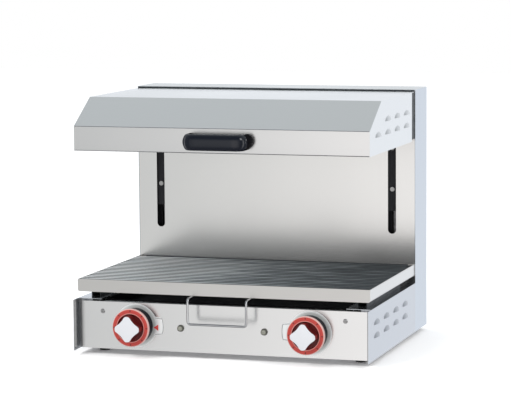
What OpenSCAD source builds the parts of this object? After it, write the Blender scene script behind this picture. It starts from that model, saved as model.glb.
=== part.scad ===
// Salamander grill (cheese melter) for a counter: a sheet steel base with a wire-handled grate,
// a rear column, and a heated hood that slides up and down the column on two balanced chains.
// Millimetres. X runs to the right, Y to the back and Z up. The front of the side panels is y = 0
// in every module below, and placed() then moves the whole part so that the origin is at the
// middle of its footprint, on the surface that it stands on.

/* [Body] */
// Width across the side sheets
body_w = 600; // [560:1:660]
// Depth from the front edges of the side panels to the back sheet
body_d = 480; // [470:1:520]
// Height from the table to the top of the column
body_h = 508; // [450:1:600]
// Gauge of the stainless sheet
sheet_t = 1; // [0.8:0.1:1.5]

/* [Base] */
// Height of the rubber feet
foot_h = 10; // [6:0.5:20]
// Radius of a foot
foot_r = 12; // [8:0.5:16]
// Distance of the feet from the side sheets and from the back
foot_inset = 34; // [20:1:50]
// Distance of the front feet behind the front panel
foot_set = 38; // [12:1:60]
// Height of the side panels
base_h = 101; // [95:1:115]
// Depth of the base in front of the column
base_d = 380; // [340:1:460]
// Front panel behind the side panels' front edges
panel_set = 26; // [18:1:32]
// Front panel's top below the side panels' top
panel_drop = 5; // [3:0.5:10]
// Gap between each end of the front panel and the side sheet
panel_gap = 7.5; // [3:0.5:12]
// Depth of the folded edges of the front panel
panel_fold = 15; // [10:1:20]
// Width of the flange along the top of each side panel
flange_w = 50; // [44:1:60]
// Depth of the folded hem on a side panel's front edge
hem_d = 12; // [6:1:16]
// Width of the narrow folded flanges
lip_w = 15; // [10:1:18]
// Height of the upturned edges of the bottom pan
pan_lip_h = 24; // [12:1:30]

/* [Louvres] */
// Length of a pressed louvre
louvre_l = 46; // [30:1:60]
// Height of a louvre
louvre_h = 10; // [6:0.5:14]
// How far a louvre stands out of its sheet
louvre_out = 3.5; // [2.5:0.5:5]
// Distance from one louvre to the next along a row
louvre_pitch = 75.5; // [64:0.5:84]
// Distance from one row up to the next
louvre_rise = 25.5; // [16:0.5:30]
// Middle of the base's first louvre from the front edge
louvre_first = 67; // [40:1:80]
// Middle of the hood's first louvre from the front edge of the base
hood_louvre_first = 82; // [70:1:90]
// Lower lip of the lower row above the base's bottom edge
base_louvre_z = 43; // [20:1:55]
// Lower lip of the lower row above the hood's bottom edge
hood_louvre_z = 33; // [20:1:40]

/* [Controls] */
// Distance of each knob from the middle
knob_x = 178; // [140:1:200]
// Height of the knobs' centres above the base's bottom edge
knob_up = 51; // [44:1:54]
// Outer radius of the dial
dial_r = 37.5; // [28:0.5:40]
// Face of the dial in front of the panel
dial_out = 34; // [26:0.5:36]
// Face of the cap in front of the panel
cap_out = 55; // [48:0.5:60]
// Radius over the corners of the grip
grip_r = 25; // [18:0.2:25]
// Radius of the regulators' spindles
spindle_r = 3; // [2.5:0.1:4]
// Radius of the plate behind a knob
plate_r = 43; // [38:0.5:44]
// Reach of the plate's pointer tab from the knob's centre
tab_r = 57; // [50:1:66]
// Height of the tab
tab_h = 31; // [24:1:36]
// Distance of each pilot lamp from the middle
lamp_x = 85.5; // [60:0.5:100]
// Height of the pilot lamps above the base's bottom edge
lamp_up = 49; // [40:1:60]
// Radius of a lamp's bezel
lamp_r = 7; // [5:0.5:9]
// Distance of the panel screws from the middle
screw_x = 248; // [236:1:252]
// Height of the panel screws above the base's bottom edge
screw_up = 76.6; // [70:0.2:82]

/* [Grate] */
// Height of the grate's frame
grate_h = 24.6; // [20:0.2:30]
// Height of the runners under the grate
runner_h = 14; // [12:0.5:18]
// Width of a runner
runner_w = 19; // [14:1:24]
// Length of the runners
runner_l = 263; // [200:1:300]
// Front of the frame behind the side panels' front edges
grate_set = 21; // [14:1:24]
// Gauge of the frame
frame_t = 1.5; // [1:0.1:2]
// Number of rods
rod_n = 18; // [12:1:22]
// Radius of a rod
rod_r = 2.5; // [2:0.1:3]
// Radius of the handle's wire
wire_r = 2.3; // [1.8:0.1:2.8]
// Distance between the handle's legs
wire_w = 119; // [90:1:140]
// Height of the handle
wire_h = 49.5; // [36:0.5:50]
// Handle's legs in front of the front panel
wire_out = 33; // [28:1:40]

/* [Hood] */
// Height of the hood at its back
hood_h = 100; // [96:1:110]
// Height of its front face
hood_front_h = 48.5; // [42:0.5:60]
// Depth of the sloping face
slope_d = 88; // [60:1:110]
// Depth of the hood
hood_d = 336; // [320:1:340]
// Front of the hood behind the side panels' front edges
hood_set = 17; // [10:1:22]
// Top of the hood below the top of the column
hood_drop = 4; // [3:0.5:8]
// Length of the handle over its ends
handle_l = 134; // [110:1:180]
// Height of the handle
handle_h = 31.5; // [24:0.5:34]
// Thickness of the handle
handle_t = 16; // [12:1:20]
// Handle's reach in front of the hood
handle_out = 44; // [32:1:46]
// Radius of a heating element's sheath
element_r = 4; // [3:0.25:5]
// Passes of each heating element
element_n = 6; // [4:2:8]
// Number of bars in the guard below the elements
guard_n = 22; // [14:1:28]

/* [Lift] */
// Travel of the hood
lift = 229; // [180:1:232]
// Lower end of the slots above the table
slot_z = 211.5; // [205:0.5:220]
// Distance of the slots from the middle
slot_x = 251; // [240:1:256]
// Width of a slot
slot_w = 17; // [14:0.5:18]
// Thickness of a lift arm
arm_t = 6; // [4:0.5:8]
// Height of a lift arm
arm_h = 32; // [24:1:34]
// Lower end of the slider bars above the table
slider_z = 258; // [250:1:270]
// Pitch radius of the chain wheels
wheel_r = 22; // [20:0.5:24]
// Radius of the cross shafts
shaft_r = 5; // [4:0.5:6]
// Height of the counterweight
weight_h = 80; // [60:1:90]
// Thickness of the counterweight
weight_t = 28; // [20:1:30]

/* [Hidden] */
$fn = 48;

// Colours
STEEL = [0.80, 0.81, 0.81];
DARK_STEEL = [0.42, 0.45, 0.47];
BLACK = [0.08, 0.08, 0.09];
CHROME = [0.86, 0.87, 0.88];
RED = [0.80, 0.22, 0.18];
WHITE = [0.95, 0.95, 0.95];

// Clearances
eps = 0.01;        // overcut of a hole past its wall
fit = 0.2;         // sheet beside sheet
run = 0.05;        // shaft in its bore, on the radius
hole_fit = 0.2;    // screw in its hole, on the radius
slide = 0.5;       // slider in its rail, chain in its clamp
hood_run = 0.8;    // hood and grate in front of the column
knob_run = 0.3;    // knob in front of its plate

// Levels and depths of the body
half_w = body_w / 2;
base_z = foot_h;
deck_z = base_z + base_h;
pan_z = base_z + sheet_t;
panel_low = 2;         // front panel's bottom edge above the side panels'
panel_z = base_z + panel_low;
panel_top = deck_z - panel_drop;
panel_half = half_w - sheet_t - panel_gap;
panel_back = panel_set + panel_fold;
knob_z = base_z + knob_up;
lamp_z = base_z + lamp_up;
screw_z = base_z + screw_up;
cover_in = half_w - sheet_t;
pan_half = cover_in - fit;
foot_places = [for (x = [-1, 1], y = [panel_back + foot_set, body_d - foot_inset - lip_w])
    [x * (cover_in - foot_inset), y]];
foot_taper = 1.5;
stud_r = 4;
stud_h = 8;
washer_w = 3;
washer_t = 2;
end_flange_w = 24;

// Screws
screw_r = 2;
head_r = 4.6;
head_h = 2.6;
head_crown = 0.8;      // top of a head, as a share of its rim
panel_screw_l = 8;
back_screw_l = 6;
handle_screw_l = 13;

// Form of a louvre: at mid height the bulge has lost this share of its reach, and the pressing
// thins the sheet to this share of its gauge
louvre_mid = 0.5;
louvre_lost = 0.3;
louvre_thin = 0.8;
louvre_edge = 5;       // plain sheet left behind the last louvre

// Front panel fittings
bracket_w = 24;
bracket_leg = 32;
bracket_down = 15;
reg_w = 40;
reg_h = 36;
reg_d = 35;
reg_boss_r = 8;
reg_boss_h = 6;
spindle_hole_r = 5.5;
spindle_in = 18;
plate_t = 1;
tab_taper = 0.2;        // narrowing of the tab at each edge, as a share of its reach
lamp_barrel_r = 4.6;
lamp_barrel_l = 22;
bezel_h = 6;
bezel_taper = 1.4;
lens_r = 4.8;
lens_h = 1.6;
lens_taper = 1;
lens_proud = 0.8;

// Knobs, measured out of the panel
skirt_t = 3;
skirt_set = 2.5;
skirt_taper = 0.6;
dial_t = 7;
dial_sink = 4.5;
dial_back = dial_out - dial_t;
dial_floor = dial_out - dial_sink;
dial_face_w = 10;
dial_lean = 2;
dial_edge = 1.5;
hub_r = 9;
hub_h = 14;
cap_t = 2;
grip_dish_r = 42;
grip_dish = 2.4;
grip_corner = 3.4;
spindle_down = 9.5;
spindle_play = 0.5;
spindle_top = cap_out - spindle_down;

// Drip tray and its ledges
tray_side = 2;
tray_gap = 4;
tray_end = 9;
tray_h = 22;
tray_down = 3;
tray_half = half_w - flange_w - tray_side;
tray_front = panel_back + tray_gap;
tray_back = base_d - tray_end;
tray_top = deck_z - tray_down;
tray_z = tray_top - tray_h;
ledge_play = 3.5;
ledge_w = 12;
ledge_end = 6;
ledge_out = tray_half + ledge_play;
ledge_in = tray_half - ledge_w;

// Column
cover_top = body_h - sheet_t;
slot_half = cover_in - fit;
slot_top = cover_top - fit;
slot_back = base_d + sheet_t;
back_face = body_d - sheet_t;
back_side = 0.5;
back_half = cover_in - back_side;
panel_turn = 12;
notch_w = 50;
notch_h = 28;
vent_l = 50;
vent_h = 5;
vent_rows = 8;
vent_step = 14;
vent_x = 130;
vent_z = 300;
pan_vent_n = 6;
back_screw_in = 7;
back_screw_shares = [0.08, 0.5, 0.92];
back_screw_places = [for (x = [-1, 1], z = back_screw_shares) [x * (back_half - back_screw_in), z * body_h]];

// Lift: the rails stand behind the slots, the chains run behind the rails
rail_t = 1.5;
rail_in = 13;
rail_d = 20.5;
rail_low = 2;
rail_high = 6;
rail_web = slot_back + rail_d - rail_t;
rail_z0 = pan_z + sheet_t + rail_low;
rail_z1 = slot_top - sheet_t - rail_high;
stop_gap = 2;          // left between an arm or slider and its stop at each end of the travel
arm_z = slot_z + lift + stop_gap;
slot_over = 5.5;
slot_up = arm_z + arm_h + slot_over;
slider_half = rail_in - slide;
slider_t = 12;
slider_set = 4;
slider_front = slot_back + slider_set;
slider_back = slider_front + slider_t;
slider_top = rail_z1 - stop_gap;
slider_screw_places = [45, 130];
lug_h = 12;
lug_gap = 1;
lug_z = arm_z - lug_gap - lug_h;
lug_half = 3;
slit_half = 4;
slit_over = 6;
clamp_half = 7;
clamp_gap = 1.5;
clamp_wall = 3.5;
chain_t = 3;
chain_half = 3;
chain_gap = 6.5;
chain_front = slot_back + rail_d + chain_gap;
chain_y = chain_front + wheel_r;
chain_back = chain_y + wheel_r;
groove_run = 0.3;
groove_r = wheel_r - chain_t / 2 - groove_run;
rim_up = 1;
rim_r = wheel_r + rim_up;
groove_half = 3.5;
wheel_half = 5;
upper_gap = 7;
lower_gap = 8;
upper_z = slot_top - wheel_r - upper_gap;
lower_z = pan_z + sheet_t + wheel_r + lower_gap;
bracket_t = 3;
bracket_up = 22;
bracket_front = 3;
bracket_past = 14;
shaft_past = 4;
shaft_end = slot_x + rail_in + rail_t + bracket_t + shaft_past;
collar_up = 3;
collar_l = 7.2;
collar_run = 0.3;
weight_past = 11;
weight_gap = 11;
weight_half = slot_x + weight_past;
weight_z = lower_z + wheel_r + weight_gap;

// Hood
hood_side_gap = 0.5;
hood_half = half_w - hood_side_gap;
hood_in = hood_half - sheet_t;
hood_z = body_h - hood_drop - hood_h;
hood_top = hood_z + hood_h;
carrier_back = base_d - hood_run;
hood_back = hood_set + hood_d;
carrier_in = 1.5;
carrier_half = hood_half - carrier_in;
carrier_up = 4;
carrier_top = hood_top - sheet_t;
top_gap = 5.2;         // from the back edge of the hood's top sheet to the back of the carrier
carrier_z = hood_z + carrier_up;
shelf_up = 16;
shelf_z = hood_z + shelf_up;
pan_up = 25;
pan_inset = 20;
blanket_h = 24;
blanket_set = 20;
blanket_side = 2;
element_up = 12;
element_z = shelf_z + element_up;
element_gap = 25;
element_end = 24;
element_bend_front = 22;
element_tail = 6;
guard_r = 1.25;
guard_bar_r = 2;
guard_over = 6;
guard_shares = [0.06, 0.5, 0.94];
hanger_shares = [0.3, 0.7];
hanger_h = 3;
hanger_t = 2;
handle_z = hood_z + hood_front_h / 2;
handle_bend = 18;
handle_corner = 12;    // corners of the handle seen from the front
handle_y = hood_set - handle_out + handle_t / 2;
post_x = handle_l / 2 - handle_t / 2;
arm_foot_t = 3;
arm_foot_half = 14;
hood_side_outline = [
    [hood_set, hood_z], [hood_back, hood_z], [hood_back, hood_top],
    [hood_set + slope_d, hood_top], [hood_set, hood_z + hood_front_h]
];

// Grate
grate_z = deck_z + runner_h;
grate_top = grate_z + grate_h;
grate_in = 1.6;
grate_half = half_w - grate_in;
grate_back = base_d - hood_run;
grate_lip = 14;
grate_side_lip = 20;
grate_fold_r = 4;      // lower edge of each side rail, where its lip is folded in
runner_in = 15.4;
runner_set = 36;
runner_x = grate_half - runner_in - runner_w;
runner_y = grate_set + runner_set;
rod_down = 0.1;
rod_z = grate_top - rod_r - rod_down;
rod_step = (grate_back - grate_set) / (rod_n + 1);
bar_r = 3;
bar_x = 145;
weld = 0.02;       // play between round bars that are welded where they touch
wire_bend = 6;
wire_y = panel_set - wire_out;
wire_top = grate_z - wire_r - weld;
wire_arm = 80;

// Supply
block_half = 30;
block_d = 20;
block_h = 22;
block_in = 30;
block_y = body_d - block_in;
pole_r = 2;
pole_step = 13;
pole_row = 5;
pole_l = 8;
gland_side = 95;
gland_up = 40;
gland_x = half_w - gland_side;
gland_z = base_z + gland_up;
gland_r = 9;
gland_bore = 5.5;
gland_out = 12;
gland_in = 11;
gland_hex = 13;
gland_nut_h = 5;
gland_crown = 2;
loom_r = 3;
loom_up = 9;
loom_z = pan_z + sheet_t + loom_up;
loom_bend = 12;

// The whole part
front_y = min(panel_set - cap_out, hood_set - handle_out, wire_y - wire_r);
mid_y = (front_y + body_d + gland_out) / 2;

module placed() translate([0, -mid_y, 0]) children();

module box(low, high) translate(low) cube(high - low);

module both_sides() {
    children();
    mirror([1, 0, 0]) children();
}

// Rods along each axis, from one place to another
module rod_along_x(r, x0, x1, y, z) translate([x0, y, z]) rotate([0, 90, 0]) cylinder(r = r, h = x1 - x0);
module rod_along_y(r, x, y0, y1, z) translate([x, y0, z]) rotate([-90, 0, 0]) cylinder(r = r, h = y1 - y0);
module rod_along_z(r, x, y, z0, z1) translate([x, y, z0]) cylinder(r = r, h = z1 - z0);

// A round bar bent through a quarter turn, from the X axis to the Y axis
module quarter_turn(bend, r) rotate_extrude(angle = 90) translate([bend, 0]) circle(r = r);

// A flat shape given in Y and Z, from one X to another
module side_plate(outline, x0, x1) {
    translate([x0, 0, 0]) rotate([90, 0, 90]) linear_extrude(x1 - x0) polygon(outline);
}

// Things on the front panel: x and y lie in the panel and z points out of it
module on_panel(x, z) translate([x, panel_set, z]) rotate([90, 0, 0]) children();

// Pan-headed screw, pointing along -Z from the underside of its head
module screw(length) {
    translate([0, 0, -length]) cylinder(r = screw_r, h = length);
    difference() {
        cylinder(r1 = head_r, r2 = head_r * head_crown, h = head_h);
        for (turn = [0, 90]) rotate([0, 0, turn])
            translate([-head_r / 2, -head_h / 8, head_h / 2]) cube([head_r, head_h / 4, head_h]);
    }
}

// Bulge of a louvre, drawn in by the sheet's gauge for its hollow. The sheet's outer face is x = 0,
// the open lip is at z = 0, and the bulge is a slice of a cone about an upright line in the sheet.
module louvre_bulge(draw_in) {
    turn_r = (pow(louvre_l / 2, 2) + pow(louvre_out, 2)) / (2 * louvre_out);
    low = draw_in > 0 ? -eps : 0;
    intersection() {
        translate([louvre_out - turn_r, 0, 0]) rotate_extrude($fn = 96) polygon([
            [0, low], [turn_r - draw_in, low],
            [turn_r - louvre_out * louvre_lost - draw_in, louvre_h * louvre_mid],
            [turn_r - louvre_out - draw_in, louvre_h - draw_in], [0, louvre_h - draw_in]
        ]);
        translate([-sheet_t - draw_in, -louvre_l, -louvre_h]) cube([louvre_h, 2 * louvre_l, 3 * louvre_h]);
    }
}

// Number of the last louvre that fits in a row, counted from 0
function last_louvre(first, end) = floor((end - first - louvre_l / 2 - louvre_edge) / louvre_pitch);

// A sheet whose outer face is at x = face, with louvres at the given [y, z] places
module louvred(face, places) {
    difference() {
        union() {
            children();
            for (place = places) translate([face, place[0], place[1]]) louvre_bulge(0);
        }
        for (place = places) translate([face, place[0], place[1]]) louvre_bulge(sheet_t * louvre_thin);
    }
}

// ---------------------------------------------------------------- base

// Right-hand side panel: skin, hem, top flange that carries the grate, and folded lips
module side_panel() {
    places = [for (i = [0:last_louvre(louvre_first, base_d)], row = [0, 1])
        [louvre_first + i * louvre_pitch, base_z + base_louvre_z + row * louvre_rise]];
    louvred(half_w, places) {
        box([cover_in, 0, base_z], [half_w, base_d, deck_z]);
        box([cover_in - sheet_t, 0, base_z], [half_w, hem_d, deck_z]);
        box([half_w - flange_w, panel_set, deck_z - sheet_t], [half_w, base_d, deck_z]);
        box([cover_in - lip_w, panel_back, base_z], [half_w, base_d, pan_z]);
        box([cover_in - end_flange_w, panel_back, base_z], [half_w, panel_back + sheet_t, deck_z]);
    }
}
module side_panel_right() color(STEEL) placed() side_panel();
module side_panel_left() color(STEEL) placed() mirror([1, 0, 0]) side_panel();

// Bottom pan with upturned edges, vent slots and the holes of the feet
module base_pan() color(STEEL) placed() {
    front = panel_back + sheet_t;
    rear = back_face - sheet_t - fit;
    difference() {
        union() {
            box([-pan_half, front, pan_z], [pan_half, rear, pan_z + sheet_t]);
            box([-pan_half, front, pan_z], [pan_half, front + sheet_t, pan_z + pan_lip_h]);
            box([-pan_half, rear - sheet_t, pan_z], [pan_half, rear, pan_z + pan_lip_h]);
        }
        for (place = foot_places)
            rod_along_z(stud_r + hole_fit, place[0], place[1], pan_z - eps, pan_z + sheet_t + eps);
        for (side = [-1, 1], i = [0:pan_vent_n - 1])
            translate([side * vent_x, base_d / 2 + (i - (pan_vent_n - 1) / 2) * vent_step * 2, pan_z - eps])
                slot_cut(vent_l, vent_h, sheet_t + 2 * eps);
    }
}

// Flat slot with round ends, along X, through a sheet of the given depth
module slot_cut(length, width, depth) {
    reach = (length - width) / 2;
    for (side = [-1, 1]) translate([side * reach, 0, 0]) cylinder(d = width, h = depth);
    translate([-reach, -width / 2, 0]) cube([2 * reach, width, depth]);
}

// Front panel: a shallow folded tray with the holes of the controls
module front_panel() color(STEEL) placed() {
    inner = panel_set + sheet_t;
    difference() {
        box([-panel_half, panel_set, panel_z], [panel_half, panel_back, panel_top]);
        box([-panel_half + sheet_t, inner, panel_z + sheet_t],
            [panel_half - sheet_t, panel_back + eps, panel_top - sheet_t]);
        for (side = [-1, 1]) {
            rod_along_y(spindle_hole_r, side * knob_x, panel_set - eps, inner + eps, knob_z);
            rod_along_y(lamp_barrel_r + hole_fit, side * lamp_x, panel_set - eps, inner + eps, lamp_z);
            rod_along_y(screw_r + hole_fit, side * screw_x, panel_set - eps, inner + eps, screw_z);
        }
    }
}

// Angle brackets that the panel screws bite into, welded under the side flanges
module panel_brackets() color(DARK_STEEL) placed() both_sides() {
    front = panel_set + sheet_t;
    leg_x = screw_x + bracket_w / 2;
    difference() {
        union() {
            box([screw_x - bracket_w / 2, front, screw_z - bracket_down],
                [leg_x, front + sheet_t, panel_top - sheet_t - fit]);
            box([leg_x - sheet_t, front, screw_z - bracket_down],
                [leg_x, front + bracket_leg, panel_top - sheet_t - fit]);
            box([leg_x - sheet_t, panel_back + sheet_t + fit, screw_z - bracket_down],
                [leg_x, front + bracket_leg, deck_z - sheet_t]);
        }
        rod_along_y(screw_r + run, screw_x, front - eps, front + sheet_t + eps, screw_z);
    }
}

module panel_screws() color(CHROME) placed() {
    for (side = [-1, 1]) on_panel(side * screw_x, screw_z) screw(panel_screw_l);
}

// Enamelled drip tray with a rolled rim, under the grate
module drip_tray() color(BLACK) placed() {
    difference() {
        box([-tray_half, tray_front, tray_z], [tray_half, tray_back, tray_top]);
        box([-tray_half + sheet_t, tray_front + sheet_t, tray_z + sheet_t],
            [tray_half - sheet_t, tray_back - sheet_t, tray_top + eps]);
    }
}

// Ledges that carry the tray, hung from the side flanges
module tray_ledges() color(DARK_STEEL) placed() both_sides() {
    start = tray_front + bracket_leg;
    box([ledge_out, start, tray_z - sheet_t], [ledge_out + sheet_t, tray_back - ledge_end, deck_z - sheet_t]);
    box([ledge_in, start, tray_z - sheet_t], [ledge_out, tray_back - ledge_end, tray_z]);
}

// Tapered rubber feet with a moulded stud and a washer above the pan
module feet() color(BLACK) placed() {
    for (place = foot_places) translate([place[0], place[1], 0]) {
        cylinder(r1 = foot_r - foot_taper, r2 = foot_r, h = pan_z);
        cylinder(r = stud_r, h = pan_z + stud_h);
        translate([0, 0, pan_z + sheet_t]) cylinder(r = stud_r + washer_w, h = washer_t);
    }
}

// ---------------------------------------------------------------- column

// Top and sides of the column in one folded sheet, with flanges for the back and the bottom
module column_cover() color(STEEL) placed() {
    flange_front = back_face - sheet_t;
    difference() {
        union() {
            box([-half_w, base_d, cover_top], [half_w, body_d, body_h]);
            both_sides() {
                box([cover_in, base_d, base_z], [half_w, body_d, body_h]);
                box([cover_in - lip_w, flange_front, base_z], [half_w, back_face, body_h]);
                box([cover_in - lip_w, slot_back, base_z], [half_w, back_face, pan_z]);
            }
            box([-half_w, flange_front, cover_top - lip_w], [half_w, back_face, body_h]);
        }
        for (place = back_screw_places)
            rod_along_y(screw_r + run, place[0], flange_front - eps, back_face + eps, place[1]);
    }
}

// Front of the column, with the two slots that the lift arms pass through
module slotted_panel() color(STEEL) placed() {
    foot_z = pan_z + sheet_t;
    difference() {
        union() {
            box([-slot_half, base_d, foot_z], [slot_half, slot_back, slot_top]);
            both_sides()
                box([slot_half - sheet_t, base_d, foot_z], [slot_half, slot_back + panel_turn, slot_top]);
            box([-slot_half, base_d, slot_top - sheet_t], [slot_half, slot_back + panel_turn, slot_top]);
        }
        both_sides() {
            box([slot_x - slot_w / 2, base_d - eps, slot_z + slot_w / 2],
                [slot_x + slot_w / 2, slot_back + eps, slot_up]);
            rod_along_y(slot_w / 2, slot_x, base_d - eps, slot_back + eps, slot_z + slot_w / 2);
            rod_along_y(slot_w / 2, slot_x, base_d - eps, slot_back + eps, slot_up);
            box([knob_x - notch_w / 2, base_d - eps, foot_z - eps],
                [knob_x + notch_w / 2, slot_back + eps, foot_z + notch_h]);
        }
    }
}

// Back sheet with two fields of vent slots and the hole of the cable gland
module back_panel() color(STEEL) placed() {
    difference() {
        box([-back_half, back_face, pan_z + fit], [back_half, body_d, cover_top - fit]);
        for (side = [-1, 1], row = [0:vent_rows - 1])
            translate([side * vent_x, back_face - eps, vent_z + row * vent_step]) rotate([-90, 0, 0])
                slot_cut(vent_l, vent_h, sheet_t + 2 * eps);
        rod_along_y(gland_r + hole_fit, gland_x, back_face - eps, body_d + eps, gland_z);
        for (place = back_screw_places)
            rod_along_y(screw_r + hole_fit, place[0], back_face - eps, body_d + eps, place[1]);
    }
}

module back_screws() color(CHROME) placed() {
    for (place = back_screw_places)
        translate([place[0], body_d, place[1]]) rotate([-90, 0, 0]) screw(back_screw_l);
}

// Channel behind each slot, with a slit in its web for the chain clamp
module guide_rail() {
    difference() {
        box([slot_x - rail_in - rail_t, slot_back, rail_z0],
            [slot_x + rail_in + rail_t, rail_web + rail_t, rail_z1]);
        box([slot_x - rail_in, slot_back - eps, rail_z0 - eps],
            [slot_x + rail_in, rail_web, rail_z1 + eps]);
        box([slot_x - slit_half, rail_web - eps, lug_z - lift - slit_over],
            [slot_x + slit_half, rail_web + rail_t + eps, lug_z + lug_h + slit_over]);
    }
}
module guide_rail_right() color(DARK_STEEL) placed() guide_rail();
module guide_rail_left() color(DARK_STEEL) placed() mirror([1, 0, 0]) guide_rail();

// Plates that carry the ends of the two cross shafts, welded to the rails
module shaft_brackets() color(DARK_STEEL) placed() both_sides() {
    x = slot_x + rail_in + rail_t;
    for (z = [upper_z, lower_z]) difference() {
        box([x, slot_back + bracket_front, z - bracket_up],
            [x + bracket_t, chain_y + bracket_past, z + bracket_up]);
        rod_along_x(shaft_r + run, x - eps, x + bracket_t + eps, chain_y, z);
    }
}

// Endless chains: the front run lifts the hood and the back run carries the counterweight
module chain_loops() color(DARK_STEEL) placed() both_sides() difference() {
    chain_outline(wheel_r + chain_t / 2, chain_half, 0);
    chain_outline(wheel_r - chain_t / 2, chain_half, eps);
}
module chain_outline(r, half, over) {
    for (z = [upper_z, lower_z])
        rod_along_x(r, slot_x - half - over, slot_x + half + over, chain_y, z);
    box([slot_x - half - over, chain_y - r, lower_z], [slot_x + half + over, chain_y + r, upper_z]);
}

// Cross shaft with a collar inside each bracket
module cross_shaft(z) {
    rod_along_x(shaft_r, -shaft_end, shaft_end, chain_y, z);
    collar_end = slot_x + rail_in + rail_t - collar_run;
    both_sides() rod_along_x(shaft_r + collar_up, collar_end - collar_l, collar_end, chain_y, z);
}
module upper_shaft() color(CHROME) placed() cross_shaft(upper_z);
module lower_shaft() color(CHROME) placed() cross_shaft(lower_z);

// Grooved chain wheels, turned about X
module chain_wheels(z) both_sides() {
    translate([slot_x, chain_y, z]) rotate([0, 90, 0]) rotate_extrude() polygon([
        [shaft_r + weld, -wheel_half], [rim_r, -wheel_half], [rim_r, -groove_half],
        [groove_r, -groove_half], [groove_r, groove_half], [rim_r, groove_half],
        [rim_r, wheel_half], [shaft_r + weld, wheel_half]
    ]);
}
module upper_wheels() color(DARK_STEEL) placed() chain_wheels(upper_z);
module lower_wheels() color(DARK_STEEL) placed() chain_wheels(lower_z);

// Hole through a clamp for one run of the chain
module chain_hole(y, z0, z1) {
    box([slot_x - chain_half - slide, y - chain_t / 2 - slide, z0 - eps],
        [slot_x + chain_half + slide, y + chain_t / 2 + slide, z1 + eps]);
}

// Cast bar across the column, hung on the back runs of both chains
module counterweight() color(DARK_STEEL) placed() {
    difference() {
        box([-weight_half, chain_back - weight_t / 2, weight_z],
            [weight_half, chain_back + weight_t / 2, weight_z + weight_h]);
        both_sides() chain_hole(chain_back, weight_z, weight_z + weight_h);
    }
}

// ---------------------------------------------------------------- hood

// Front, slope and top of the hood in one folded sheet, with a lip under the front; the top runs back
// over the carrier
module hood_wrap() color(STEEL) placed() {
    slope = atan2(hood_h - hood_front_h, slope_d);
    bend = sheet_t * tan(slope / 2);
    fold = sheet_t * tan((90 - slope) / 2);
    knee = hood_z + hood_front_h;
    difference() {
        side_plate([
            [hood_set, hood_z], [hood_set + lip_w, hood_z], [hood_set + lip_w, hood_z + sheet_t],
            [hood_set + sheet_t, hood_z + sheet_t], [hood_set + sheet_t, knee - fold],
            [hood_set + slope_d + bend, hood_top - sheet_t], [carrier_back - top_gap, hood_top - sheet_t],
            [carrier_back - top_gap, hood_top], [hood_set + slope_d, hood_top], [hood_set, knee]
        ], -hood_in, hood_in);
        both_sides()
            rod_along_y(screw_r + hole_fit, post_x, hood_set - eps, hood_set + sheet_t + eps, handle_z);
    }
}

// Right-hand side of the hood: seven louvres and a lip along the bottom
module hood_side() {
    places = [for (row = [0, 1], i = [row:last_louvre(hood_louvre_first, hood_back)])
        [hood_louvre_first + i * louvre_pitch, hood_z + hood_louvre_z + row * louvre_rise]];
    louvred(hood_half, places) {
        side_plate(hood_side_outline, hood_in, hood_half);
        box([hood_half - lip_w, hood_set + lip_w + fit, hood_z], [hood_half, hood_back, hood_z + sheet_t]);
    }
}
module hood_side_right() color(STEEL) placed() hood_side();
module hood_side_left() color(STEEL) placed() mirror([1, 0, 0]) hood_side();

// Black channel across the back of the hood, open to the column, which carries the arms
module hood_carrier() color(BLACK) placed() {
    difference() {
        box([-carrier_half, hood_back, carrier_z], [carrier_half, carrier_back, carrier_top]);
        box([-carrier_half + sheet_t, hood_back + sheet_t, carrier_z - eps],
            [carrier_half - sheet_t, carrier_back + eps, carrier_top - sheet_t]);
    }
}

// Lift arms from the carrier, through the slots, to the sliders
module lift_arms() color(DARK_STEEL) placed() both_sides() {
    start = hood_back + sheet_t;
    box([slot_x - arm_t / 2, start, arm_z], [slot_x + arm_t / 2, slider_front, arm_z + arm_h]);
    box([slot_x - arm_foot_half, start, arm_z], [slot_x + arm_foot_half, start + arm_foot_t, arm_z + arm_h]);
}

// Slider bar in its rail, with the clamp that takes the front run of the chain
module slider() {
    difference() {
        union() {
            box([slot_x - slider_half, slider_front, slider_z],
                [slot_x + slider_half, slider_back, slider_top]);
            box([slot_x - lug_half, slider_back - eps, lug_z],
                [slot_x + lug_half, chain_front, lug_z + lug_h]);
            box([slot_x - clamp_half, rail_web + rail_t + clamp_gap, lug_z],
                [slot_x + clamp_half, chain_front + chain_t / 2 + clamp_wall, lug_z + lug_h]);
        }
        chain_hole(chain_front, lug_z, lug_z + lug_h);
    }
}
module slider_right() color(CHROME) placed() slider();
module slider_left() color(CHROME) placed() mirror([1, 0, 0]) slider();

// Screws that hold the slide pads on the bars, seen through the slots
module slider_screws() color(CHROME) placed() both_sides() {
    for (up = slider_screw_places)
        translate([slot_x, slider_front, slider_z + up]) rotate([90, 0, 0]) cylinder(r = head_r, h = head_h);
}

// Moulded bridge handle: one rounded section carried along a bar, two bends and two posts, then
// rounded at the corners of its front outline
module rounded_face(half_l, half_h, r) {
    for (x = [-1, 1], y = [-1, 1]) translate([x * (half_l - r), y * (half_h - r)]) circle(r = r);
    square([2 * half_l, 2 * (half_h - r)], center = true);
    square([2 * (half_l - r), 2 * half_h], center = true);
}
module handle_section() {
    lean = (handle_h - handle_t) / 2;
    for (side = [-1, 1]) translate([0, side * lean]) circle(d = handle_t);
    square([handle_t, 2 * lean], center = true);
}
module handle_bar() {
    translate([-(post_x - handle_bend), handle_y, handle_z]) rotate([90, 0, 90])
        linear_extrude(2 * (post_x - handle_bend)) handle_section();
    both_sides() {
        translate([post_x - handle_bend, handle_y + handle_bend, handle_z]) rotate([0, 0, -90])
            rotate_extrude(angle = 90) translate([handle_bend, 0]) handle_section();
        translate([post_x, hood_set, handle_z]) rotate([90, 0, 0])
            linear_extrude(hood_set - handle_y - handle_bend) handle_section();
    }
}
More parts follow.
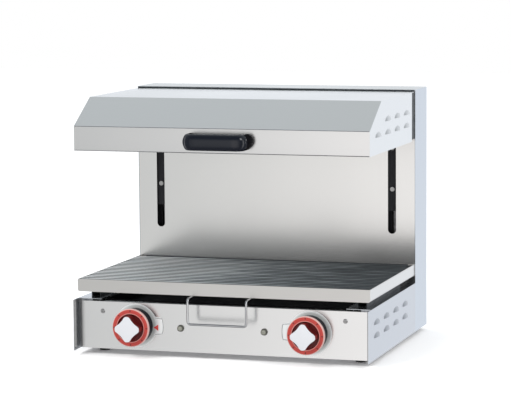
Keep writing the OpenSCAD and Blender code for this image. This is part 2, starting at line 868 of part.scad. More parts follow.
module hood_handle() color(BLACK) placed() difference() {
    intersection() {
        handle_bar();
        translate([0, hood_set, handle_z]) rotate([90, 0, 0])
            linear_extrude(handle_out) rounded_face(handle_l / 2 + eps, handle_h / 2 + eps, handle_corner);
    }
    both_sides()
        rod_along_y(screw_r + run, post_x, hood_set - handle_screw_l - sheet_t, hood_set + eps, handle_z);
}
module handle_screws() color(CHROME) placed() both_sides() {
    translate([post_x, hood_set + sheet_t, handle_z]) rotate([-90, 0, 0]) screw(handle_screw_l);
}

// Reflector pan above the elements, with a flange all round that closes the underside
module reflector() color(CHROME) placed() {
    x = hood_in - fit;
    y0 = hood_set + sheet_t + fit;
    y1 = hood_back - fit;
    difference() {
        union() {
            box([-x, y0, shelf_z], [x, y1, shelf_z + sheet_t]);
            box([-x + pan_inset, y0 + pan_inset, shelf_z], [x - pan_inset, y1 - pan_inset, shelf_z + pan_up]);
        }
        box([-x + pan_inset + sheet_t, y0 + pan_inset + sheet_t, shelf_z - eps],
            [x - pan_inset - sheet_t, y1 - pan_inset - sheet_t, shelf_z + pan_up - sheet_t]);
        for (side = [-1, 1], pass = [0, element_n - 1])
            rod_along_y(element_r + hole_fit, side * element_x(pass), y1 - pan_inset - 2 * sheet_t,
                y1 - pan_inset + eps, element_z);
    }
}

// Mineral wool blanket between the reflector and the top
module insulation() color([0.85, 0.80, 0.62]) placed() {
    x = hood_in - pan_inset - blanket_side;
    box([-x, hood_set + 2 * blanket_set, shelf_z + pan_up],
        [x, hood_back - blanket_set, shelf_z + pan_up + blanket_h]);
}

// Sheathed elements: parallel passes joined by half turns, with both ends out at the back
element_step = (hood_in - pan_inset - 2 * element_gap) / (element_n - 1);
function element_x(pass) = element_gap + pass * element_step;
module heating_element() {
    front = hood_set + pan_inset + element_bend_front + element_step / 2;
    back = hood_back - pan_inset - element_end - element_step / 2;
    for (pass = [0:element_n - 1]) {
        last = pass == 0 || pass == element_n - 1;
        rod_along_y(element_r, element_x(pass), front, last ? hood_back - element_tail : back, element_z);
    }
    for (pass = [0:element_n - 2]) {
        at_front = pass % 2 == 0;
        translate([element_x(pass) + element_step / 2, at_front ? front : back, element_z])
            rotate([0, 0, at_front ? 180 : 0]) rotate_extrude(angle = 180)
                translate([element_step / 2, 0]) circle(r = element_r);
    }
}
module heating_element_right() color(DARK_STEEL) placed() heating_element();
module heating_element_left() color(DARK_STEEL) placed() mirror([1, 0, 0]) heating_element();

// Strips under the elements, from one wall of the reflector to the other
module element_hangers() color(DARK_STEEL) placed() {
    reach = hood_in - fit - pan_inset - sheet_t;
    top = element_z - element_r - weld;
    for (share = hanger_shares)
        translate([-reach, hood_set + share * hood_d, top - hanger_h]) cube([2 * reach, hanger_t, hanger_h]);
}

// Guard under the elements: bars from front to back, welded on three cross bars
module element_guard() color(CHROME) placed() {
    reach = hood_in - pan_inset + guard_over;
    y0 = hood_set + pan_inset - guard_over;
    y1 = hood_back - pan_inset + guard_over;
    z = shelf_z - guard_r - weld;
    for (i = [0:guard_n - 1])
        rod_along_y(guard_r, (reach - guard_over) * (2 * i / (guard_n - 1) - 1), y0, y1, z);
    for (share = guard_shares)
        rod_along_x(guard_bar_r, -reach, reach, y0 + share * (y1 - y0), z - guard_r - guard_bar_r - weld);
}

// ---------------------------------------------------------------- controls

module energy_regulators() color(BLACK) placed() {
    for (side = [-1, 1]) translate([side * knob_x, panel_set + sheet_t, knob_z]) rotate([-90, 0, 0])
        difference() {
            union() {
                cylinder(r = reg_boss_r, h = reg_boss_h + eps);
                translate([-reg_w / 2, -reg_h / 2, reg_boss_h]) cube([reg_w, reg_h, reg_d]);
            }
            translate([0, 0, -eps]) cylinder(r = spindle_r + run, h = spindle_in + 2 * eps);
        }
}

// Bright plate behind each knob, with a tab towards the middle of the panel
module dial_plates() color(CHROME) placed() both_sides() {
    on_panel(knob_x, knob_z) difference() {
        union() {
            cylinder(r = plate_r, h = plate_t, $fn = 96);
            intersection() {
                cylinder(r = tab_r, h = plate_t, $fn = 96);
                linear_extrude(plate_t) polygon([
                    [-tab_r, -tab_h / 2], [-tab_r, tab_h / 2],
                    [0, tab_h / 2 + tab_r * tab_taper], [0, -tab_h / 2 - tab_r * tab_taper]
                ]);
            }
        }
        translate([0, 0, -eps]) cylinder(r = spindle_hole_r, h = plate_t + 2 * eps);
    }
}

module pilot_bezels() color(CHROME) placed() {
    for (side = [-1, 1]) on_panel(side * lamp_x, lamp_z) difference() {
        union() {
            translate([0, 0, -lamp_barrel_l]) cylinder(r = lamp_barrel_r, h = lamp_barrel_l + eps);
            cylinder(r1 = lamp_r, r2 = lamp_r - bezel_taper, h = bezel_h);
        }
        translate([0, 0, bezel_h - lens_h]) cylinder(r = lens_r, h = bezel_h);
    }
}

module pilot_lenses() color([0.55, 0.60, 0.52]) placed() {
    for (side = [-1, 1]) on_panel(side * lamp_x, lamp_z) translate([0, 0, bezel_h - lens_h])
        cylinder(r1 = lens_r - weld, r2 = lens_r - lens_taper, h = lens_h + lens_proud);
}

module knob_skirt() rotate_extrude($fn = 96) polygon([
    [dial_r - skirt_set - skirt_t, plate_t + knob_run], [dial_r - skirt_set, plate_t + knob_run],
    [dial_r - skirt_set + skirt_taper, dial_back], [dial_r - skirt_set - skirt_t, dial_back]
]);

// Outline of the grip: four corners with hollowed sides
module grip_outline() intersection() {
    circle(r = grip_r);
    difference() {
        rotate(45) square((grip_r + grip_corner) * sqrt(2), center = true);
        for (turn = [45:90:315]) rotate(turn)
            translate([(grip_r + grip_corner) / sqrt(2) + grip_dish_r - grip_dish, 0])
                circle(r = grip_dish_r);
    }
}

module knob_dial() difference() {
    union() {
        rotate_extrude($fn = 96) polygon([
            [0, dial_back - hub_h], [hub_r, dial_back - hub_h], [hub_r, dial_back],
            [dial_r, dial_back], [dial_r, dial_out - dial_edge], [dial_r - dial_edge, dial_out],
            [dial_r - dial_face_w, dial_out], [dial_r - dial_face_w - dial_lean, dial_floor], [0, dial_floor]
        ]);
        translate([0, 0, dial_floor - eps]) linear_extrude(cap_out - cap_t - dial_floor + eps) grip_outline();
    }
    translate([0, 0, dial_back - hub_h - eps])
        cylinder(r = spindle_r + weld, h = spindle_top - dial_back + hub_h + 2 * eps);
}

module knob_cap() translate([0, 0, cap_out - cap_t]) linear_extrude(cap_t) grip_outline();

module knob_spindle() translate([0, 0, spindle_play - spindle_in - sheet_t])
    cylinder(r = spindle_r, h = spindle_in + sheet_t - spindle_play + spindle_top);

module knob_skirt_left() color(BLACK) placed() on_panel(-knob_x, knob_z) knob_skirt();
module knob_dial_left() color(RED) placed() on_panel(-knob_x, knob_z) knob_dial();
module knob_cap_left() color(WHITE) placed() on_panel(-knob_x, knob_z) knob_cap();
module knob_spindle_left() color(CHROME) placed() on_panel(-knob_x, knob_z) knob_spindle();
module knob_skirt_right() color(BLACK) placed() on_panel(knob_x, knob_z) knob_skirt();
module knob_dial_right() color(RED) placed() on_panel(knob_x, knob_z) knob_dial();
module knob_cap_right() color(WHITE) placed() on_panel(knob_x, knob_z) knob_cap();
module knob_spindle_right() color(CHROME) placed() on_panel(knob_x, knob_z) knob_spindle();

// ---------------------------------------------------------------- supply

module terminal_block() color(WHITE) placed() difference() {
    box([-block_half, block_y - block_d / 2, pan_z + sheet_t],
        [block_half, block_y + block_d / 2, pan_z + sheet_t + block_h]);
    for (i = [0:3], row = [-1, 1])
        rod_along_z(pole_r, (i - 1.5) * pole_step, block_y + row * pole_row,
            pan_z + sheet_t + block_h - pole_l, pan_z + sheet_t + block_h + eps);
}

// Gland in the back sheet: locknut inside, hexagon and cap outside, one bore through all
module cable_gland() color(BLACK) placed() translate([gland_x, body_d, gland_z]) rotate([-90, 0, 0])
    difference() {
        union() {
            translate([0, 0, -gland_in]) cylinder(r = gland_r, h = gland_in + gland_out / 2);
            translate([0, 0, -sheet_t - gland_nut_h]) cylinder(r = gland_hex, h = gland_nut_h, $fn = 6);
            cylinder(r = gland_hex, h = gland_out / 2, $fn = 6);
            translate([0, 0, gland_out / 2 - eps])
                cylinder(r1 = gland_hex - gland_crown, r2 = gland_r, h = gland_out / 2 + eps);
        }
        translate([0, 0, -gland_in - eps]) cylinder(r = gland_bore, h = gland_in + gland_out + 2 * eps);
    }

// Leads from the terminal block to the regulators, under the tray and through the notches
module wire_loom() color(BLACK) placed() both_sides() {
    lead_y = panel_set + sheet_t + reg_boss_h + reg_d / 2;
    rod_along_z(loom_r, knob_x, lead_y, loom_z + loom_bend, knob_z - reg_h / 2);
    translate([knob_x, lead_y + loom_bend, loom_z + loom_bend]) rotate([-90, 0, -90])
        quarter_turn(loom_bend, loom_r);
    rod_along_y(loom_r, knob_x, lead_y + loom_bend, block_y - loom_bend, loom_z);
    translate([knob_x - loom_bend, block_y - loom_bend, loom_z]) quarter_turn(loom_bend, loom_r);
    rod_along_x(loom_r, block_half, knob_x - loom_bend, block_y, loom_z);
}

// ---------------------------------------------------------------- grate

// Section across the frame, with rounded lower corners, carried along Y from one place to another
module grate_trough(half, z0, z1, r, y0, y1) translate([0, y1, z0]) rotate([90, 0, 0])
    linear_extrude(y1 - y0) {
        for (side = [-1, 1]) translate([side * (half - r), r]) circle(r = r);
        translate([-half, r]) square([2 * half, z1 - z0 - r]);
        translate([r - half, 0]) square([2 * (half - r), z1 - z0]);
    }

// Folded frame with lips turned in under all four sides
module grate_frame() color(STEEL) placed() difference() {
    grate_trough(grate_half, grate_z, grate_top, grate_fold_r, grate_set, grate_back);
    grate_trough(grate_half - frame_t, grate_z + frame_t, grate_top + eps, grate_fold_r - frame_t,
        grate_set + frame_t, grate_back - frame_t);
    box([-grate_half + grate_side_lip, grate_set + grate_lip, grate_z - eps],
        [grate_half - grate_side_lip, grate_back - grate_lip, grate_z + frame_t + eps]);
}

module grate_rods() color(DARK_STEEL) placed() {
    for (i = [1:rod_n])
        rod_along_x(rod_r, -grate_half + frame_t, grate_half - frame_t, grate_set + i * rod_step, rod_z);
}

// Round bars under the rods, from the front of the frame to its back
module grate_crossbars() color(DARK_STEEL) placed() {
    for (x = [-bar_x, 0, bar_x])
        rod_along_y(bar_r, x, grate_set + frame_t, grate_back - frame_t, rod_z - rod_r - bar_r - weld);
}

// Folded runners that slide on the side flanges
module grate_runners() color(DARK_STEEL) placed() both_sides() difference() {
    box([runner_x, runner_y, deck_z], [runner_x + runner_w, runner_y + runner_l, grate_z]);
    box([runner_x + frame_t, runner_y - eps, deck_z - eps],
        [runner_x + runner_w - frame_t, runner_y + runner_l + eps, grate_z - frame_t]);
}

// Wire handle: arms welded under the front rail, bent down to a bar
module grate_handle() color(CHROME) placed() {
    bar_z = wire_top - wire_h;
    x = wire_w / 2;
    both_sides() {
        rod_along_y(wire_r, x, wire_y + wire_bend, wire_arm, wire_top);
        translate([x, wire_y + wire_bend, wire_top - wire_bend]) rotate([90, 0, -90])
            quarter_turn(wire_bend, wire_r);
        rod_along_z(wire_r, x, wire_y, bar_z + wire_bend, wire_top - wire_bend);
        translate([x - wire_bend, wire_y, bar_z + wire_bend]) rotate([-90, 0, 0])
            quarter_turn(wire_bend, wire_r);
    }
    rod_along_x(wire_r, -x + wire_bend, x - wire_bend, wire_y, bar_z);
}

base_pan();
side_panel_left();
side_panel_right();
front_panel();
panel_brackets();
panel_screws();
drip_tray();
tray_ledges();
feet();
column_cover();
slotted_panel();
back_panel();
back_screws();
guide_rail_left();
guide_rail_right();
shaft_brackets();
chain_loops();
energy_regulators();
dial_plates();
pilot_bezels();
pilot_lenses();
terminal_block();
cable_gland();
wire_loom();
hood_wrap();
hood_side_left();
hood_side_right();
hood_carrier();
lift_arms();
slider_left();
slider_right();
slider_screws();
hood_handle();
handle_screws();
reflector();
insulation();
heating_element_left();
heating_element_right();
element_hangers();
element_guard();
counterweight();
upper_shaft();
upper_wheels();
lower_shaft();
lower_wheels();
knob_skirt_left();
knob_dial_left();
knob_cap_left();
knob_spindle_left();
knob_skirt_right();
knob_dial_right();
knob_cap_right();
knob_spindle_right();
grate_frame();
grate_rods();
grate_crossbars();
grate_runners();
grate_handle();
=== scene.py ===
import math

import bmesh
import bpy
import numpy as np
from mathutils import Matrix, Vector


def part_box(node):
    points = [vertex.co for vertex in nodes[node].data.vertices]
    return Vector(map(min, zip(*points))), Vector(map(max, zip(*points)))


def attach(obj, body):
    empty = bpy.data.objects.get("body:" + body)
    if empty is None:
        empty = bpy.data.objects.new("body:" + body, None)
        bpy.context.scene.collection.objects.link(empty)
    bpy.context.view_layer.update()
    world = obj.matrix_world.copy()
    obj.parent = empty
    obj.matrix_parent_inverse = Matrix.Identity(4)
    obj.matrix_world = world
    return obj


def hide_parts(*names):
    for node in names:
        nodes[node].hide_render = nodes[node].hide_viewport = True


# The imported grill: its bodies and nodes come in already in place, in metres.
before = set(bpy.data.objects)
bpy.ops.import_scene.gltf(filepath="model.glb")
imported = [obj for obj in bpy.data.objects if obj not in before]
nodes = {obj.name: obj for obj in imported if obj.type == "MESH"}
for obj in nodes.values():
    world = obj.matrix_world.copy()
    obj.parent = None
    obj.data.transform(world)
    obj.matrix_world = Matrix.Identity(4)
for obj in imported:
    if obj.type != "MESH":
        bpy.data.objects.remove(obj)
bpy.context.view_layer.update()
scene = bpy.context.scene
scene.view_settings.view_transform = "Standard"


# ---- Viewpoint -----------------------------------------------------------------------------
# The grill was photographed from well in front, a little to its right and from just above its
# top, through a long lens whose axis misses the middle of the picture by a few pixels.
stand_point = Vector((1.4068, -4.4410, 0.8209))
turned_left = math.radians(16.888)
tipped_down = math.radians(6.622)
rolled = math.radians(-0.375)
picture_width, focal_length, axis_right, axis_up = 511, 2324.2, 25.48, 4.37  # pixels
level = Vector((-math.sin(turned_left), math.cos(turned_left), 0))
across = Vector((math.cos(turned_left), math.sin(turned_left), 0))
upward = Vector((0, 0, 1))
sight = level * math.cos(tipped_down) - upward * math.sin(tipped_down)
crown = upward * math.cos(tipped_down) + level * math.sin(tipped_down)
right_edge = across * math.cos(rolled) + crown * math.sin(rolled)
top_edge = crown * math.cos(rolled) - across * math.sin(rolled)
lens = bpy.data.cameras.new("viewpoint")
lens.sensor_width = 36.0
lens.lens = focal_length / picture_width * lens.sensor_width
lens.shift_x = -axis_right / picture_width
lens.shift_y = -axis_up / picture_width
viewpoint = bpy.data.objects.new("viewpoint", lens)
viewpoint.matrix_world = Matrix.Translation(stand_point) @ Matrix(
    (
        (right_edge.x, top_edge.x, -sight.x),
        (right_edge.y, top_edge.y, -sight.y),
        (right_edge.z, top_edge.z, -sight.z),
    )
).to_4x4()
scene.collection.objects.link(viewpoint)
scene.camera = viewpoint


# ---- Studio --------------------------------------------------------------------------------
# A white floor under the grill, lit by two large soft lamps and a pale surround. The bright metal
# shows a room with a white front and back, dark ends with a lit strip in each, and a ceiling that
# is dark in front and light grey overhead.
studio = bpy.data.worlds.new("studio")
studio.use_nodes = True
scene.world = studio
air = studio.node_tree
air.nodes.clear()


def reckon(tree, operation, *values):
    """A Math node on up to three values, each a number or the output of another node."""
    made = tree.nodes.new("ShaderNodeMath")
    made.operation = operation
    for slot, value in zip(made.inputs, values):
        if isinstance(value, (int, float)):
            slot.default_value = value
        else:
            tree.links.new(value, slot)
    return made.outputs[0]


def ranged(tree, source, begin, end, low=0.0, high=1.0):
    """A value carried from one range to another, and held at both ends."""
    made = tree.nodes.new("ShaderNodeMapRange")
    for socket, value in zip(("From Min", "From Max", "To Min", "To Max"), (begin, end, low, high)):
        made.inputs[socket].default_value = value
    tree.links.new(source, made.inputs["Value"])
    return made.outputs["Result"]


def coloured(tree, source, stops):
    """The colour of a value on a ramp through (position, colour) stops."""
    ramp = tree.nodes.new("ShaderNodeValToRGB")
    while len(ramp.color_ramp.elements) < len(stops):
        ramp.color_ramp.elements.new(0.5)
    for element, (position, colour) in zip(ramp.color_ramp.elements, stops):
        element.position = position
        element.color = (*colour, 1)
    tree.links.new(source, ramp.inputs["Fac"])
    return ramp.outputs["Color"]


def mixed(tree, share, first, second):
    """A colour between two, each a triple or the output of another node."""
    made = tree.nodes.new("ShaderNodeMix")
    made.data_type = "RGBA"
    tree.links.new(share, made.inputs["Factor"])
    for slot, value in zip((made.inputs[6], made.inputs[7]), (first, second)):
        if isinstance(value, tuple):
            slot.default_value = (*value, 1)
        else:
            tree.links.new(value, slot)
    return made.outputs[2]


toward = air.nodes.new("ShaderNodeTexCoord")
way = air.nodes.new("ShaderNodeSeparateXYZ")
air.links.new(toward.outputs["Generated"], way.inputs[0])
dome = coloured(air, way.outputs["Z"], [(0.30, (1.0, 1.0, 1.0)), (0.85, (0.62, 0.64, 0.66))])

# The room's colours go round by bearing: 0 degrees is the front, 90 the right and 180 the back.
bearing = reckon(air, "ARCTAN2", way.outputs["X"], reckon(air, "MULTIPLY", way.outputs["Y"], -1.0))
round_room = reckon(air, "MULTIPLY_ADD", bearing, 0.5 / math.pi, 0.5)
room_colours = (
    (-180, (1.02, 1.05, 1.10)),
    (-160, (1.08, 1.12, 1.18)),
    (-132, (0.30, 0.31, 0.33)),
    (-104, (0.26, 0.27, 0.29)),
    (-100, (2.00, 2.00, 2.05)),
    (-94, (2.00, 2.00, 2.05)),
    (-90, (0.24, 0.25, 0.27)),
    (-48, (0.22, 0.23, 0.25)),
    (-30, (0.60, 0.61, 0.61)),
    (-21.5, (0.64, 0.65, 0.65)),
    (-19, (0.74, 0.75, 0.75)),
    (-16.5, (1.00, 0.99, 0.98)),
    (-14.5, (1.18, 1.15, 1.14)),
    (20, (1.06, 1.05, 1.04)),
    (50, (0.25, 0.25, 0.26)),
    (72, (0.25, 0.25, 0.26)),
    (76, (2.60, 2.60, 2.65)),
    (84, (2.60, 2.60, 2.65)),
    (88, (0.26, 0.26, 0.27)),
    (130, (0.28, 0.29, 0.31)),
    (152, (0.92, 0.96, 1.02)),
    (180, (1.02, 1.05, 1.10)),
)
room = coloured(air, round_room, [(degrees / 360 + 0.5, colour) for degrees, colour in room_colours])
ceiling = ranged(air, way.outputs["Z"], 0.12, 0.50)
ceiling.node.interpolation_type = "SMOOTHSTEP"
backward = ranged(air, way.outputs["Y"], -0.50, 0.15)
overhead = mixed(air, backward, (0.12, 0.13, 0.15), (0.60, 0.64, 0.66))
underfoot = ranged(air, way.outputs["Z"], -0.35, -0.75)
level_ring = mixed(air, underfoot, room, (0.22, 0.22, 0.23))
mirrored = mixed(air, ceiling, level_ring, overhead)
trace = air.nodes.new("ShaderNodeLightPath")
around = mixed(air, trace.outputs["Is Glossy Ray"], dome, mirrored)
behind = mixed(air, trace.outputs["Is Camera Ray"], around, (1.0, 1.0, 1.0))
glow = air.nodes.new("ShaderNodeBackground")
away = air.nodes.new("ShaderNodeOutputWorld")
air.links.new(behind, glow.inputs["Color"])
air.links.new(glow.outputs[0], away.inputs["Surface"])


def soft_lamp(name, place, target, width, power):
    """A square area lamp at a place, facing a target."""
    shape = bpy.data.lights.new(name, "AREA")
    shape.size = width
    shape.energy = power
    lamp = bpy.data.objects.new(name, shape)
    lamp.location = place
    lamp.rotation_mode = "QUATERNION"
    lamp.rotation_quaternion = (Vector(target) - Vector(place)).to_track_quat("-Z", "Y")
    scene.collection.objects.link(lamp)
    return lamp


soft_lamp("key_lamp", (-1.6, -2.6, 2.6), (0, 0, 0.2), 1.6, 40).visible_glossy = False
soft_lamp("fill_lamp", (2.6, -1.6, 1.8), (0, 0, 0.2), 1.0, 18)


def mesh_piece(name, points, faces, solid):
    """A piece from rows of points and of the four corners of each face. On a solid, points that fall
    together are merged and the faces are turned outwards."""
    mesh = bpy.data.meshes.new(name)
    mesh.from_pydata(points.reshape(-1, 3).tolist(), [], faces.tolist())
    if solid:
        whole = bmesh.new()
        whole.from_mesh(mesh)
        bmesh.ops.remove_doubles(whole, verts=whole.verts, dist=1e-6)
        bmesh.ops.recalc_face_normals(whole, faces=whole.faces)
        whole.to_mesh(mesh)
        whole.free()
    mesh.update()
    piece = bpy.data.objects.new(name, mesh)
    scene.collection.objects.link(piece)
    return piece


def grid_piece(name, points, closed_u=False, closed_v=False, solid=False):
    """A mesh from an array of points, rows by columns by three: each square of neighbours is a face,
    and the last row or column joins the first where it is closed."""
    rows, columns = points.shape[:2]
    i = np.arange(rows if closed_u else rows - 1)[:, None]
    j = np.arange(columns if closed_v else columns - 1)[None, :]
    a, b = i * columns + j, ((i + 1) % rows) * columns + j
    c, d = ((i + 1) % rows) * columns + (j + 1) % columns, i * columns + (j + 1) % columns
    return mesh_piece(name, points, np.stack([a, b, c, d], -1).reshape(-1, 4), solid)


def smooth(piece, limit):
    """Shades the piece smooth, apart from edges sharper than the limit in degrees."""
    mesh = piece.data
    mesh.polygons.foreach_set("use_smooth", np.ones(len(mesh.polygons), dtype=bool))
    mesh.set_sharp_from_angle(angle=math.radians(limit))


floor_x, floor_y = np.meshgrid(np.linspace(-9, 9, 19), np.linspace(-9, 9, 19), indexing="ij")
studio_floor = grid_piece("studio_floor", np.stack([floor_x, floor_y, np.zeros_like(floor_x)], -1))
studio_floor.visible_glossy = False
paper = bpy.data.materials.new("white_paper")
paper.use_nodes = True
paper_tree = paper.node_tree
paper_tree.nodes.clear()
seen = paper_tree.nodes.new("ShaderNodeLightPath").outputs["Is Camera Ray"]
matt = paper_tree.nodes.new("ShaderNodeBsdfDiffuse")
matt.inputs["Color"].default_value = (0.88, 0.88, 0.88, 1)
extra = paper_tree.nodes.new("ShaderNodeBsdfDiffuse")
paper_tree.links.new(mixed(paper_tree, seen, (0.0, 0.0, 0.0), (0.62, 0.61, 0.60)), extra.inputs["Color"])
both = paper_tree.nodes.new("ShaderNodeAddShader")
laid = paper_tree.nodes.new("ShaderNodeOutputMaterial")
paper_tree.links.new(matt.outputs[0], both.inputs[0])
paper_tree.links.new(extra.outputs[0], both.inputs[1])
paper_tree.links.new(both.outputs[0], laid.inputs["Surface"])
studio_floor.data.materials.append(paper)


# ---- Sheet steel body: side panels, front panel, column, back and bottom ---------------------
# Stainless sheet one millimetre thick, cut, pressed with louvres and folded, then screwed and
# spot-welded together. The finish is a bright rolled one, with a faint grain along the sheet.
def finish_of(name, colour, rough, metallic=0.0, **sockets):
    """A material with one shader, whose even values are set on the shader's own sockets."""
    made = bpy.data.materials.new(name)
    made.use_nodes = True
    shader = made.node_tree.nodes["Principled BSDF"]
    shader.inputs["Base Color"].default_value = (*colour, 1)
    shader.inputs["Roughness"].default_value = rough
    shader.inputs["Metallic"].default_value = metallic
    for socket, value in sockets.items():
        shader.inputs[socket.replace("_", " ")].default_value = value
    return made


def socket_of(made, name):
    """An input of the material's one shader."""
    return made.node_tree.nodes["Principled BSDF"].inputs[name]


def grain(made, scale, stretch=(1, 1, 1), detail=3.0):
    """Noise on the piece's own coordinates, drawn out along the axes where stretch is small."""
    tree = made.node_tree
    place = tree.nodes.new("ShaderNodeTexCoord")
    drawn = tree.nodes.new("ShaderNodeMapping")
    drawn.inputs["Scale"].default_value = stretch
    cloud = tree.nodes.new("ShaderNodeTexNoise")
    cloud.inputs["Scale"].default_value = scale
    cloud.inputs["Detail"].default_value = detail
    tree.links.new(place.outputs["Object"], drawn.inputs["Vector"])
    tree.links.new(drawn.outputs["Vector"], cloud.inputs["Vector"])
    return cloud.outputs["Fac"]


def own_place(made):
    """The piece's own coordinates, one output for each axis."""
    tree = made.node_tree
    place = tree.nodes.new("ShaderNodeTexCoord")
    split = tree.nodes.new("ShaderNodeSeparateXYZ")
    tree.links.new(place.outputs["Object"], split.inputs[0])
    return split.outputs


def shine(made, source, low, high):
    """Carries a grain to the shader's roughness, from a low to a high value."""
    tree = made.node_tree
    tree.links.new(ranged(tree, source, 0.3, 0.7, low, high), socket_of(made, "Roughness"))


def tones(made, source, stops):
    """Carries a value to the shader's colour through a ramp of (position, colour) stops."""
    made.node_tree.links.new(coloured(made.node_tree, source, stops), socket_of(made, "Base Color"))


def repaint(made, share, colour):
    """Lays a colour over the shader's own by a share, which is 0 to 1."""
    tree, base = made.node_tree, socket_of(made, "Base Color")
    tree.links.new(mixed(tree, share, base.links[0].from_socket, colour), base)


def relief(made, source, depth, edge=0.0):
    """Bump from a grain, in metres, over edges that are rounded off by a small radius."""
    tree = made.node_tree
    bump = tree.nodes.new("ShaderNodeBump")
    bump.inputs["Strength"].default_value = 1.0
    bump.inputs["Distance"].default_value = depth
    tree.links.new(source, bump.inputs["Height"])
    if edge:
        rounded = tree.nodes.new("ShaderNodeBevel")
        rounded.samples = 6
        rounded.inputs["Radius"].default_value = edge
        tree.links.new(rounded.outputs["Normal"], bump.inputs["Normal"])
    tree.links.new(bump.outputs["Normal"], socket_of(made, "Normal"))


def clouded(made, source, dark=None, light=None, rough=None):
    """One grain for a finish's detail: its colour goes from dark to light and its roughness through
    a range, each where given."""
    if dark:
        tones(made, source, [(0.3, dark), (0.7, light)])
    if rough:
        shine(made, source, *rough)


def dress(made, *names):
    """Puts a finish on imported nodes."""
    for name in names:
        solid = nodes[name]
        if not solid.material_slots:
            solid.data.materials.append(made)
        for entry in solid.material_slots:
            entry.material = made


# How deep a wall's dark inner skin (mill finish and painted shade) goes, the height that it ends at
# under the top flange, and how far outside a face the louvres' bulges start.
skin, flange_foot, over_face = 0.0022, 0.1104, 0.0002


def rolled_sheet(name, tint, along, rough=(0.19, 0.26), brushed=0.6, inner=None, top=None, bulge=None):
    """Bright rolled stainless sheet: faint long grain along one axis, a slow change of shine, and
    reflections that are drawn out upwards. Behind the inner distance from the middle, the sheet's
    inside is painted a dark dull grey: partly the mill finish, partly painted shade in the recess.
    Above the top height the sheet is painted a neutral grey, and the tint below it is painted shade on
    the sides. Beyond the bulge distance the pressed louvres are duller, where the sheet was stretched."""
    made = finish_of(name, tint, rough[0], 1.0, Anisotropic=brushed)
    tree = made.node_tree
    upright = tree.nodes.new("ShaderNodeCombineXYZ")
    upright.inputs[1].default_value = 0.03
    upright.inputs[2].default_value = 1.0
    tree.links.new(upright.outputs[0], socket_of(made, "Tangent"))
    fine = grain(made, 12.0, [60.0 if axis != along else 1.5 for axis in range(3)], 4.0)
    slow = grain(made, 3.5, detail=2.0)
    clouded(made, slow, [c * 0.97 for c in tint], tint, rough)
    relief(made, fine, 0.000003)
    # Above the top height the tint gives way to a neutral grey: the bluer tint below it is painted shade
    # on the column's sides.
    if top:
        repaint(made, reckon(tree, "GREATER_THAN", own_place(made)["Z"], top), (0.60, 0.61, 0.60))
    # Inside the walls, below the flange, the sheet is painted a dark dull grey: partly the mill finish,
    # partly painted shade in the recess.
    if inner:
        place = own_place(made)
        aside = reckon(tree, "ABSOLUTE", place["X"])
        within = reckon(tree, "LESS_THAN", aside, inner)
        beyond = reckon(tree, "GREATER_THAN", aside, inner - skin)
        below = reckon(tree, "LESS_THAN", place["Z"], flange_foot)
        inside = reckon(tree, "MULTIPLY", reckon(tree, "MULTIPLY", within, beyond), below)
        mill_and_shade = coloured(tree, fine, [(0.3, (0.27, 0.275, 0.28)), (0.7, (0.44, 0.445, 0.45))])
        repaint(made, inside, mill_and_shade)
    if bulge:
        aside = reckon(tree, "ABSOLUTE", own_place(made)["X"])
        pressed = reckon(tree, "GREATER_THAN", aside, bulge + over_face)
        repaint(made, pressed, tuple(c * 0.86 + 0.08 for c in tint))
        gloss = socket_of(made, "Roughness")
        duller = reckon(tree, "ADD", gloss.links[0].from_socket, reckon(tree, "MULTIPLY", pressed, 0.24))
        tree.links.new(duller, gloss)
    return made


# The same rolled sheet is tinted by face: the front panel lightest, the hood's front and the slotted panel
# a little darker, the hood's sides darker again, and the base's sides and the column darker and bluer
# still. These tints are painted light and shade on one sheet.
sheet_along_x = rolled_sheet("rolled_steel_front", (0.80, 0.80, 0.80), 0)
louvre_out, wall_inside, column_shoulder = 0.0035, 0.2994, 0.5077
base_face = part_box("side_panel_right")[1][0] - louvre_out
base_side_sheet = rolled_sheet(
    "rolled_steel_base_side", (0.55, 0.57, 0.605), 1, inner=wall_inside, bulge=base_face
)
column_sheet = rolled_sheet("rolled_steel_column", (0.555, 0.60, 0.655), 1, top=column_shoulder)
dress(rolled_sheet("rolled_steel_panel", (0.86, 0.86, 0.86), 0, (0.20, 0.26)), "front_panel")
dress(sheet_along_x, "back_panel", "base_pan")
dress(column_sheet, "column_cover")
dress(base_side_sheet, "side_panel_left", "side_panel_right")


# ---- Slotted panel behind the cooking space --------------------------------------------------
# The same sheet, with two round-ended slots punched for the lift arms. It faces the room, so it
# stays brighter than the rest.
panel_sheet = rolled_sheet("rolled_steel_slotted", (0.80, 0.80, 0.79), 2, (0.19, 0.25), 0.4)
dress(panel_sheet, "slotted_panel")


# ---- Lift and brackets inside the body -------------------------------------------------------
# Zinc-plated brackets and arms, blackened rails and slide bars that show through the slots, bright
# turned shafts, oiled chains and a cast iron balance weight.
plated = finish_of("plated_steel", (0.42, 0.44, 0.45), 0.42, 1.0)
clouded(plated, grain(plated, 45.0), (0.34, 0.36, 0.37), (0.47, 0.48, 0.49), (0.34, 0.52))
dress(plated, "panel_brackets", "tray_ledges", "shaft_brackets")
dress(plated, "lift_arms", "upper_wheels", "lower_wheels", "element_hangers")
cast = finish_of("cast_iron", (0.10, 0.10, 0.11), 0.6, 0.6)
cast_cloud = grain(cast, 220.0)
clouded(cast, cast_cloud, (0.07, 0.07, 0.08), (0.14, 0.14, 0.15))
relief(cast, cast_cloud, 0.0003, 0.002)
dress(cast, "counterweight")
bright_bar = finish_of("bright_bar", (0.70, 0.71, 0.72), 0.2, 1.0)
shine(bright_bar, grain(bright_bar, 20.0, (2, 60, 60)), 0.14, 0.26)
dress(bright_bar, "upper_shaft", "lower_shaft")
slide_bar = finish_of("slide_bar", (0.03, 0.03, 0.035), 0.4, 0.0, Specular_IOR_Level=0.2)
